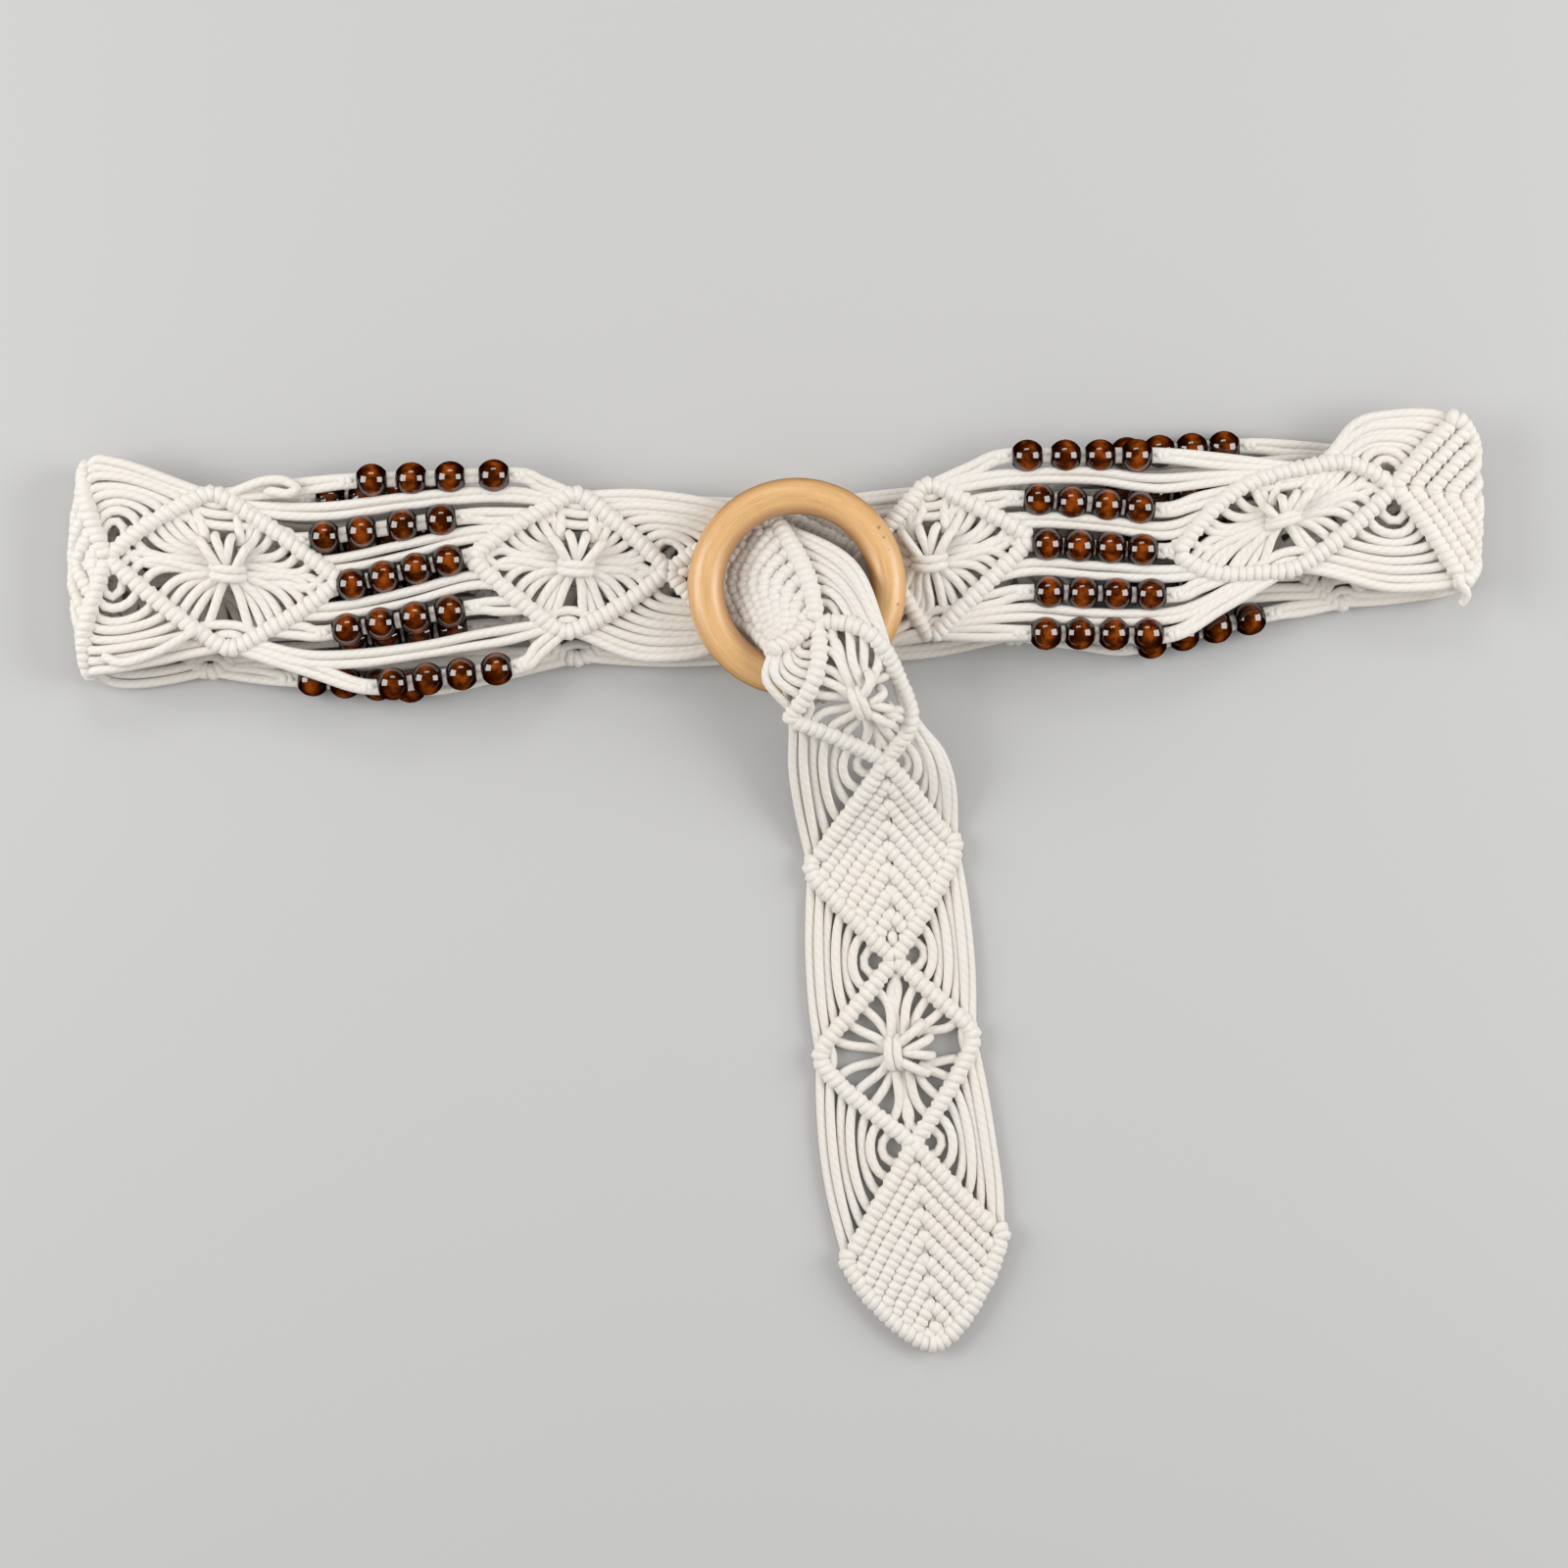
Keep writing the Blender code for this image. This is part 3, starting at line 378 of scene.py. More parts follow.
# Ring wood: distances from the ring's middle where painted shade darkens its inner and outer
# edges, and its specks' places from there and sizes
INNER_SHADE_EDGE = (22.2 * MM, 25.4 * MM)
OUTER_SHADE_EDGE = (30.5 * MM, 33.0 * MM)
SPECKS = (
    (24.6 * MM, 17.7 * MM, 0.7 * MM), (26.1 * MM, 14.7 * MM, 0.55 * MM),
    (30.3 * MM, -5.4 * MM, 0.6 * MM), (27.6 * MM, 11.0 * MM, 0.35 * MM),
)

# Bead stain: near black, and its fine lines
DARK_STAIN = (0.016, 0.0022, 0.0008)
STAIN_LINES = (0.06, 0.013, 0.002)

# Studio: the middle of the picture from the ring's centre, lights with their place from there,
# share of the power and size, and the strength of the light from all round
PICTURE_MIDDLE = (-3.9 * MM, -59.4 * MM)
LIGHTS = (
    ("left_light", "key", (-1.02, 0.16, 0.66), 1.0, (0.74, 0.82)),
    ("right_light", "fill", (1.02, 0.16, 0.66), 1.0, (0.74, 0.82)),
    ("top_light", "key", (-0.1, 1.10, 0.95), 0.25, (0.7, 0.3)),
)
AMBIENT = 0.54
FLOOR_REACH = 10

# Centre knot of an open diamond: a cupped bar along the belt, and two arms that open like a V.
# Their points are shares of their length and of the knot's height; the bar's cup is in mm.
KNOT_BAR = 4.6 * MM
KNOT_ARM = 9.8 * MM
KNOT_LEAN = math.radians(25)
KNOT_STRAND = 1.35 * MM
KNOT_HIGH = 4.3 * MM
BAR_REACH = (-1.0, -0.85, 0.0, 0.85, 1.0)
BAR_CUP = (1.7, 0.5, 0.0, 0.5, 1.7)
BAR_RISE = (-0.4, 0.75, 1.0, 0.75, -0.4)
BAR_GIRTH = 1.12
ARM_REACH = (-0.1, 0.18, 0.5, 0.8, 0.95, 1.05)
ARM_RISE = (0.2, 0.85, 1.12, 1.08, 0.75, -0.2)
ARM_GIRTH = 1.04
LOWER_STRAND = 0.2 * MM

# Rows of the diamond inside the ring: how far they lean along the belt, in shares of the border's
# lean, how round their apex is, how far they stay inside the border, where the border ends before
# the side corner and its points, and the closing rows' start and height
CURVED_LEAN = 0.42
CURVED_BEND = 0.22
CURVED_MARGIN = 0.14
CURVED_CLEAR = 0.1
CURVED_POINTS = 31
CURVED_START = 1.12
CURVED_LIFT = 0.9 * MM

# Place of a diamond's side corner, where it isn't level with the middle, by the diamond's first
# section and its side
CORNERS = {("left_2_end", -1): 0.8}

# Bulge of a border, by its diamond's first section, its side and its end: above 1 it swells out,
# below 1 it is hollow
BULGES = {
    ("right_2_start", 1, -1): 1.4,
    ("right_2_start", 1, 1): 1.15,
    ("left_2_end", -1, -1): 2.6,
    ("buckle_end", 1, -1): 1.6,
    ("buckle_end", -1, -1): 0.62,
}


def mixed(low, high, share):
    return low + (high - low) * share


def section_rows():
    """Every section, from the ring round the loop to the tip, round the ring's centre."""
    def by_ring(name, *places, heights):
        points = [
            (x * RING_OUTER, y * RING_OUTER, share * OVER_RING)
            for (x, y), share in zip(places, heights)
        ]
        return (name, *points)

    rows = [by_ring(*row[:4], heights=row[4]) for row in FAN_PLACES]
    for name, upper, middle, lower, layer, lift in LOOP:
        heights = {
            "front": mixed(UNDER_RING, FRONT_BEADS, lift),
            "back": mixed(BACK, BACK_BEADS, lift),
            "turn": (FRONT_BEADS + BACK) / 2,
        }
        points = [(x * LOOP_SPAN, y * BELT_WIDTH, heights[layer]) for x, y in (upper, middle, lower)]
        rows.append((name, *points))
    rows += [by_ring(*row[:4], heights=row[4]) for row in THROUGH_RING]
    for name, *places, heights in TAIL:
        points = [
            (x * BELT_WIDTH, -y * TAIL_DROP, mixed(BACK, OVER_RING, share))
            for (x, y), share in zip(places, heights)
        ]
        rows.append((name, *points))
    return rows


class Route:
    """The smooth surface through the sections, read by length along it and by share across it."""

    def __init__(self, rows, centre):
        self.names = [row[0] for row in rows]
        self.guides = np.array([row[1:] for row in rows]) + centre
        steps = np.linalg.norm(np.diff(self.guides[:, 1], axis=0), axis=1)
        self.knots = np.concatenate([[0.0], np.cumsum(steps)])
        self.slopes = self.find_slopes()
        lengths = np.arange(0.0, self.knots[-1], SAMPLE_PITCH)
        along, across = np.meshgrid(lengths, SAMPLE_ACROSS)
        self.sample_places = np.column_stack([along.ravel(), across.ravel()])
        self.samples = self.points(*self.sample_places.T)

    def find_slopes(self):
        """Slopes of the guides: parabolic in plan, and without overshoot in height."""
        spans = np.diff(self.knots)[:, None, None]
        rises = np.diff(self.guides, axis=0) / spans
        slopes = np.empty_like(self.guides)
        slopes[0] = rises[0]
        slopes[-1] = rises[-1]
        inner = (spans[1:] * rises[:-1] + spans[:-1] * rises[1:]) / (spans[:-1] + spans[1:])
        before = rises[:-1, :, 2]
        after = rises[1:, :, 2]
        same_way = before * after > 0
        total = np.where(same_way, before + after, 1.0)
        inner[:, :, 2] = np.where(same_way, 2 * before * after / total, 0.0)
        slopes[1:-1] = inner
        return slopes

    def station(self, name):
        return self.knots[self.names.index(name)]

    def points(self, along, across):
        """Places at lengths along the route and shares from -1 (lower) to 1 (upper)."""
        along = np.atleast_1d(along)
        across = np.atleast_1d(across)[:, None]
        index = np.clip(np.searchsorted(self.knots, along) - 1, 0, len(self.knots) - 2)
        span = (self.knots[index + 1] - self.knots[index])[:, None, None]
        u = (along - self.knots[index])[:, None, None] / span
        guide = (
            (2 * u**3 - 3 * u**2 + 1) * self.guides[index]
            + (u**3 - 2 * u**2 + u) * span * self.slopes[index]
            + (3 * u**2 - 2 * u**3) * self.guides[index + 1]
            + (u**3 - u**2) * span * self.slopes[index + 1]
        )
        return (
            guide[:, 0] * across * (across + 1) / 2
            + guide[:, 1] * (1 - across**2)
            + guide[:, 2] * across * (across - 1) / 2
        )

    def normals(self, along, across):
        """The outward side of the strap."""
        along = np.atleast_1d(along)
        across = np.atleast_1d(across)
        forward = self.points(along + 0.5 * MM, across) - self.points(along - 0.5 * MM, across)
        sideways = self.points(along, across + 0.02) - self.points(along, across - 0.02)
        return unit(np.cross(forward, sideways))

    def place_of(self, target):
        """The length and the share whose point lies over or under a target."""
        nearest = np.linalg.norm(self.samples - np.array(target), axis=1).argmin()
        place = self.sample_places[int(nearest)].copy()
        goal = np.array(target)[:2]
        for _ in range(SEARCH_STEPS):
            here = self.points(*place)[0, :2]
            along = (self.points(place[0] + NUDGE, place[1])[0, :2] - here) / NUDGE
            across = (self.points(place[0], place[1] + SHARE_STEP)[0, :2] - here) / SHARE_STEP
            place = place + np.linalg.solve(np.column_stack([along, across]), goal - here)
        return place


def unit(vectors):
    return vectors / np.linalg.norm(vectors, axis=-1, keepdims=True)


RING_LOW, RING_HIGH = (np.array(corner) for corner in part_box("ring"))
RING_CENTRE = np.array([*((RING_LOW + RING_HIGH) / 2)[:2], 0.0])
ROUTE = Route(section_rows(), RING_CENTRE)
RANDOM = np.random.default_rng(SEED)


def lay(flat):
    """World points of flat points: length along, distance across and height above the middle."""
    flat = np.atleast_2d(flat)
    across = flat[:, 1] / HALF
    return ROUTE.points(flat[:, 0], across) + ROUTE.normals(flat[:, 0], across) * flat[:, 2:]


def smooth(points, step=STEP):
    """A smooth line through points, in steps of about one length."""
    points = np.asarray(points, float)
    ends = np.vstack([2 * points[0] - points[1], points, 2 * points[-1] - points[-2]])
    line = []
    for p0, p1, p2, p3 in zip(ends[:-3], ends[1:-2], ends[2:-1], ends[3:]):
        count = max(2, math.ceil(np.linalg.norm(p2 - p1) / step))
        u = np.linspace(0, 1, count, endpoint=False)[:, None]
        line.append((
            2 * p1 + (p2 - p0) * u + (2 * p0 - 5 * p1 + 4 * p2 - p3) * u**2
            + (3 * p1 - p0 - 3 * p2 + p3) * u**3
        ) / 2)
    return np.vstack([*line, points[-1:]])


def bezier(start, start_way, end_way, end, step=STEP):
    """A cubic curve from start to end, leaving and arriving along the two ways."""
    count = max(4, math.ceil(np.linalg.norm(end - start) / step) + 1)
    u = np.linspace(0, 1, count)[:, None]
    return (
        (1 - u)**3 * start + 3 * (1 - u)**2 * u * (start + start_way)
        + 3 * (1 - u) * u**2 * (end + end_way) + u**3 * end
    )


class Diamond:
    """One diamond of the flat strap."""

    def __init__(self, node, kind, *sections):
        self.node = node
        self.kind = kind
        self.start = sections[0]
        stretch = "tail" if node.startswith("tail") else "loop"
        self.fan_count = FAN_COUNT[stretch]
        self.side_count = SIDE_COUNT[stretch]
        self.arc_count = ARC_COUNT[stretch]
        self.first, self.middle, self.last = (ROUTE.station(name) for name in sections)
        lean = 0.0 if kind == "curved" else self.middle - self.first
        slant = math.atan2(HALF * (1 - BORDER_INSET), lean)
        self.rows = round((self.last - self.first) * math.sin(slant) / ROW_PITCH)
        pitch = (self.last - self.first) * math.sin(slant) / self.rows
        self.row_share = pitch * ROW_OVERLAP / cord_sizes().row_wide
        self.bulges = {
            (side, end): BULGES.get((sections[0], side, end), 1.0)
            for side in (1, -1) for end in (1, -1)
        }
        self.corners = {side: CORNERS.get((sections[0], side), 0.0) for side in (1, -1)}

    def height(self, place, side):
        """Share of the border's height at places from -1 (first corner) to 1 (last corner)."""
        place = place - self.corners[side]
        place = place / np.where(place > 0, 1 - self.corners[side], 1 + self.corners[side])
        bow = np.maximum(np.sqrt(place**2 + BORDER_ROUND**2) - BORDER_ROUND, 0.0)
        bow = bow / (math.sqrt(1 + BORDER_ROUND**2) - BORDER_ROUND)
        height = 1 - bow ** np.where(place < 0, self.bulges[side, -1], self.bulges[side, 1])
        if self.kind == "tip":
            closing = np.interp(place / TIP_REACH, *TIP_OUTLINE)
            height = np.where(place > 0.05, closing, height)
        return height

    def flat(self, place, across):
        """Flat points at places along and at shares of the border's reach across."""
        place, across = np.broadcast_arrays(np.atleast_1d(place), np.atleast_1d(across))
        reach = np.where(place > 0, self.last - self.middle, self.middle - self.first)
        return np.column_stack([
            self.middle + place * reach,
            across * (1 - BORDER_INSET) * HALF,
            np.zeros(len(place)),
        ])

    def border(self, side, place):
        place = np.atleast_1d(place)
        return self.flat(place, side * self.height(place, side))

    def edge(self, side, end, share):
        """The border's point at a share of the way from an end corner to the side corner."""
        return self.border(side, end + share * (self.corners[side] - end))[0]

    def place_at(self, length):
        """The place of a length along the strap, from -1 (first corner) to 1 (last corner)."""
        past = length - self.middle
        return past / np.where(past > 0, self.last - self.middle, self.middle - self.first)

    def inward(self, side, place):
        """The flat direction from a border into the diamond, square to the border."""
        ahead = (self.border(side, place + 0.02) - self.border(side, place - 0.02))[0]
        return unit(np.array([ahead[1], -ahead[0], 0.0]) * side)


class Knotting:
    """The strands and the wraps of one piece of cord work."""

    def __init__(self):
        self.strands = []
        self.wraps = []

    def cord(self, world, girth=1.0, closed=False):
        """A cord along world points, kept above the floor."""
        world = np.array(world)
        world[:, 2] = np.maximum(world[:, 2], cord_sizes().cord_wide / 2 * girth)
        self.strands.append((world, girth, closed))

    def strand(self, flat, girth=1.0):
        """A cord along flat points."""
        self.cord(lay(flat), girth)

    def rope(self, flat, lean, wide=1.0, high=1.0):
        """A row of hitches along a flat line: a core with wraps round it."""
        flat = flat + (0, 0, ROPE_LIFT)
        world = lay(flat)
        lengths = np.concatenate([[0.0], np.cumsum(np.linalg.norm(np.diff(world, axis=0), axis=1))])
        count = max(1, round(lengths[-1] / WRAP_PITCH))
        at = (np.arange(count) + 0.5) / count * lengths[-1]
        at = at + np.where(np.arange(count) % 2, -WRAP_SHIFT, WRAP_SHIFT)

        def read(line, places):
            return np.column_stack([np.interp(places, lengths, line[:, axis]) for axis in range(3)])

        point, here = read(world, at), read(flat, at)
        along = unit(read(world, at + MM) - read(world, at - MM))
        out = ROUTE.normals(here[:, 0], here[:, 1] / HALF)
        side = np.cross(out, along)
        turn = lean * WRAP_LEAN + RANDOM.normal(0, WRAP_WANDER, count)
        along = along * np.cos(turn)[:, None] + side * np.sin(turn)[:, None]
        for index in range(count):
            swell = 1 + RANDOM.normal(0, WRAP_SWELL)
            scale = (WRAP_SPREAD, wide * swell, high * swell)
            self.loop(point[index], along[index], out[index], scale)
        self.cord(world, CORE_GIRTH * wide)

    def loop(self, centre, along, out, scale):
        """One wrap, lifted where it would reach below the floor."""
        cords = cord_sizes()
        side = np.cross(out, along)
        reach = math.hypot(
            cords.wrap_thick * along[2], cords.row_wide * scale[1] * side[2],
            cords.row_high * scale[2] * out[2],
        ) / 2
        centre = np.array([centre[0], centre[1], max(centre[2], reach)])
        self.wraps.append((centre, np.array(along), np.array(out), scale))


def open_diamond(work, diamond):
    """The border ropes, the fans of cords and the centre knot of an open diamond."""
    for side in (1, -1):
        work.rope(diamond.border(side, np.linspace(-BORDER_END, BORDER_END, BORDER_POINTS)), side)
        for end in (-1, 1):
            for number in range(diamond.fan_count):
                fan_cord(work, diamond, side, end, number)
        for place in ARCS[:diamond.arc_count[side]]:
            ends = [diamond.border(side, end * place)[0] - (0, 0, ARC_UNDER) for end in (-1, 1)]
            ahead = (ends[1] - ends[0]) * (ARC_AHEAD, 0.0, 0.0)
            sag = np.array([0.0, -side * RANDOM.uniform(*ARC_SAG) * MM, ARC_RISE])
            work.strand(bezier(ends[0], ahead + sag, sag - ahead, ends[1]))
    centre_knot(work, diamond.middle)


def fan_cord(work, diamond, side, end, number):
    """A cord that leaves the border square to it, bends and ends behind the centre knot."""
    share = number / (diamond.fan_count - 1)
    place = end * mixed(*FAN_SPREAD, share) + RANDOM.normal(0, FAN_WANDER)
    start = diamond.border(side, place)[0] - (0, 0, UNDER_BORDER)
    reach, rise = FAN_ENDS[side]
    target = np.array([
        diamond.middle + end * mixed(*reach, share) * MM,
        side * mixed(*rise, share) * MM,
        FAN_LAYERS[number % 2],
    ])
    gap = target - start
    span = np.linalg.norm(gap)
    start_way = diamond.inward(side, place) * span * RANDOM.uniform(*FAN_START)
    turn = [mixed(*ends, share) for ends in FAN_TURN]
    end_way = np.array([-gap[0] * turn[0], -gap[1] * turn[1], FAN_RISE])
    work.strand(bezier(start, start_way, end_way, target))


def centre_knot(work, middle):
    """The bar and the two arms of the knot in the middle of an open diamond."""
    reach = np.array(BAR_REACH)
    height = np.array(BAR_RISE) * KNOT_HIGH
    for number in (0, 1):
        across = np.array(BAR_CUP) * MM - (number * 2 + 0.6) * KNOT_STRAND
        bar = np.column_stack([middle + reach * KNOT_BAR, across, height - number * LOWER_STRAND])
        work.strand(smooth(bar), BAR_GIRTH)
    out = np.array(ARM_REACH) * KNOT_ARM
    height = np.array(ARM_RISE) * KNOT_HIGH
    for side in (1, -1):
        for offset in (KNOT_STRAND, -KNOT_STRAND):
            lean = KNOT_LEAN + offset / KNOT_ARM
            apart = out * math.sin(lean) + offset * math.cos(lean) + KNOT_STRAND * 0.75
            arm = np.column_stack([
                middle + side * apart,
                out * math.cos(lean) - offset * math.sin(lean),
                height - LOWER_STRAND * (offset < 0),
            ])
            work.strand(smooth(arm), ARM_GIRTH)


def filled_diamond(work, diamond):
    """The chevron rows and the closing rows of a filled diamond."""
    curved = diamond.kind == "curved"
    spread = np.linspace(0.0, 1.0, ROW_POINTS)
    lean = spread * (diamond.middle - diamond.first)
    if curved:
        lean = CURVED_LEAN * (np.sqrt(spread**2 + CURVED_BEND**2) - CURVED_BEND)
        lean = lean * (diamond.middle - diamond.first)
        for side in (1, -1):
            places = np.linspace(-BORDER_END, diamond.corners[side] - CURVED_CLEAR, CURVED_POINTS)
            work.rope(diamond.border(side, places), side)
    spine = diamond.flat(np.linspace(-SPINE_END, SPINE_END, 25), 0.0) - (0, 0, SPINE_UNDER)
    work.strand(spine, SPINE_GIRTH)
    for number in range(1 if curved else 0, diamond.rows):
        start = mixed(diamond.first, diamond.last, number / diamond.rows)
        place = diamond.place_at(start + lean)
        margin = 0.0 if number == 0 else CURVED_MARGIN if curved else ROW_MARGIN
        wide = diamond.row_share if number else 1.0
        lift = (0, 0, 0.0 if number else FIRST_ROW_LIFT)
        for side in (1, -1):
            low = -1.0 if curved else 0.0
            inside = spread <= diamond.height(np.clip(place, low, 1.0), side) - margin
            inside &= spread < ROW_REACH
            reach = int(inside.argmin()) if not inside.all() else len(spread)
            first = ROW_STAGGER if number % 2 == (side > 0) else 0
            if reach > ROW_LEAST:
                row = diamond.flat(place[first:reach], side * spread[first:reach]) + lift
                work.rope(row, side, wide)
        apex = lay(diamond.flat(place[0], 0.0) + (APEX_AHEAD, 0, ROPE_LIFT))[0]
        here = diamond.flat(place[0], 0.0)[0]
        aside = unit(ROUTE.points(here[0], 0.03)[0] - ROUTE.points(here[0], -0.03)[0])
        work.loop(apex, aside, ROUTE.normals(here[0], 0.0)[0], (1.0, wide, APEX_HIGH))
    last = TIP_END if diamond.kind == "tip" else BORDER_END
    lift = CURVED_LIFT if curved else CLOSING_LIFT
    for side in (1, -1):
        start = diamond.edge(side, 1, CURVED_START if curved else 1.0)
        first = diamond.place_at(start[0]) - (0.0 if curved else CLOSING_OVERLAP)
        places = np.linspace(first, last, CLOSING_POINTS)
        closing = diamond.border(side, places) + (0, 0, lift)
        work.rope(closing, -side, CLOSING_WIDE, CLOSING_HIGH)


def loose_cords(work, diamond):
    """The cords that have worked loose and lie over a diamond's others."""
    for start, girth, points in LOOSE_CORDS:
        if start == diamond.start:
            place, across, lift = np.transpose(points)
            line = diamond.flat(place, across)
            line[:, 2] = lift * MM
            work.strand(smooth(line), girth)


def side_cords(work, before, after):
    """The cords that pass from one diamond to the next, outside both."""
    for side in (1, -1):
        for number in range(after.side_count):
            share = number / (after.side_count - 1)
            rise = mixed(*SIDE_RISE, share) + RANDOM.normal(0, SIDE_WANDER[0])
            start = before.edge(side, 1, rise) - (0, 0, SIDE_UNDER)
            end = after.edge(side, -1, rise) - (0, 0, SIDE_UNDER)
            bow = side * mixed(*SIDE_BOW, share**0.9) * HALF
            bow += RANDOM.normal(0, SIDE_WANDER[1]) * (1 - share)
            lift = SIDE_LAYERS[number % 2]
            length = end[0] - start[0]
            ahead = mixed(*SIDE_AHEAD, share) * length
            start_way = np.array([ahead, (bow - start[1]) * 4 / 3, lift])
            end_way = np.array([-ahead, (bow - end[1]) * 4 / 3, lift])
            work.strand(bezier(start, start_way, end_way, end), SIDE_GIRTH)


def bead_line(row, height):
    """World places of the first and last bead of a string."""
    return [
        np.array([x * LOOP_SPAN, y * STRING_PITCH, height]) + RING_CENTRE
        for x, y in row
    ]


def between_borders(before, after, shares, edge, offset):
    """Where a cord leaves one border and meets the next, at shares across the strap."""
    limit, apart = edge
    rises = [np.clip(share / (1 - BORDER_INSET), -limit, limit) + offset * apart for share in shares]
    start = before.edge(np.sign(rises[0]), 1, abs(rises[0]))
    return start, after.edge(np.sign(rises[1]), -1, abs(rises[1]))


def bead_cords(work, before, after, strings):
    """The cords of a stretch of beads: two through each string, and plain ones between them."""
    _, height, rows = strings
    ends = []
    for row in rows:
        first, last = bead_line(row, height)
        way = unit(last - first)
        reach = BEAD_LONG / 2 + STRING_END
        head, foot = first - way * reach, last + way * reach
        ends.append((ROUTE.place_of(head), ROUTE.place_of(foot)))
        side_way = np.array([-way[1], way[0], 0.0])
        for knot_at, inward in ((head, way), (foot, -way)):
            for offset, lean in STRING_KNOTS:
                turned = way * math.cos(lean) + side_way * math.sin(lean)
                work.loop(knot_at + inward * offset, turned, (0, 0, 1), STRING_KNOT_SIZE)
        shares = [end[1] for end in ends[-1]]
        for offset in (-1, 1):
            start, end = lay(between_borders(before, after, shares, STRING_EDGE, offset))
            shift = side_way * offset * STRING_APART * np.sign(way[0])
            share, wider = STRING_BOW
            line = [
                start, mixed(start, head + shift * wider, share), head + shift,
                mixed(head, foot, 0.5) + shift,
                foot + shift, mixed(end, foot + shift * wider, share), end,
            ]
            work.cord(smooth(line), STRING_GIRTH)
    for upper, lower in zip(ends[:-1], ends[1:]):
        head = mixed(upper[0], lower[0], 0.5)
        foot = mixed(upper[1], lower[1], 0.5)
        for offset in (-1, 1):
            start, end = between_borders(before, after, (head[1], foot[1]), PAIR_EDGE, offset)
            across = offset * PAIR_APART
            middle = mixed(head, foot, 0.5)
            wander = RANDOM.normal(0, PAIR_WANDER)
            line = [
                start, (head[0], head[1] * HALF + across, 0.0),
                (middle[0], middle[1] * HALF + across + wander, offset * PAIR_LAYER),
                (foot[0], foot[1] * HALF + across, 0.0), end,
            ]
            work.strand(smooth(line))


def fan_cords(work, after):
    """The cords that fan out from the ring to the first diamond."""
    root = ROUTE.station("fan_root")
    for side in (1, -1):
        for number in range(FAN_CORDS):
            rise = mixed(*FIRST_CORDS, number / (FAN_CORDS - 1))
            across = side * rise * HALF * FIRST_REACH
            start, ahead, end = lay([
                (root, across, (number % 2 - 0.5) * MM), (root + ROOT_LENGTH, across, 0.0),
                after.edge(side, -1, rise),
            ])
            reach = np.linalg.norm(end - start) / 3
            work.cord(bezier(start, unit(ahead - start) * reach, (start - end) / 3, end))


def mount_cords(work):
    """Loops of cord round the ring's hidden arc, and the cords from them to the fan."""
    radius = (RING_OUTER - RING_TUBE) / 2
    reach = RING_TUBE / 2 + cord_sizes().cord_wide / 2 + GAP
    count = FAN_CORDS * 2
    for number in range(count):
        share = number / (count - 1)
        angle = math.radians(mixed(*MOUNT_ARC, share))
        radial = np.array([math.cos(angle), math.sin(angle), 0.0])
        centre = RING_CENTRE + radial * radius + (0, 0, RING_LEVEL)
        turn = np.linspace(0, 2 * math.pi, LOOP_POINTS, endpoint=False)
        loop = centre + reach * (
            radial * np.cos(turn)[:, None] + np.array([0, 0, 1]) * np.sin(turn)[:, None]
        )
        work.cord(loop, 1.0, closed=True)
        outer = FIRST_CORDS[1]
        root = np.array([ROUTE.station("fan_root"), mixed(outer, -outer, share) * HALF, 0.0])
        inner = centre - radial * reach * LOOP_LEAVE[0] - (0, 0, reach * LOOP_LEAVE[1])
        line = [
            inner + (0, 0, 1.0 * MM), mixed(inner, lay(root)[0], 0.55) - (0, 0, 0.4 * MM),
            lay(root)[0], lay(root + (ROOT_LENGTH, 0, 0))[0],
        ]
        work.cord(smooth(line))


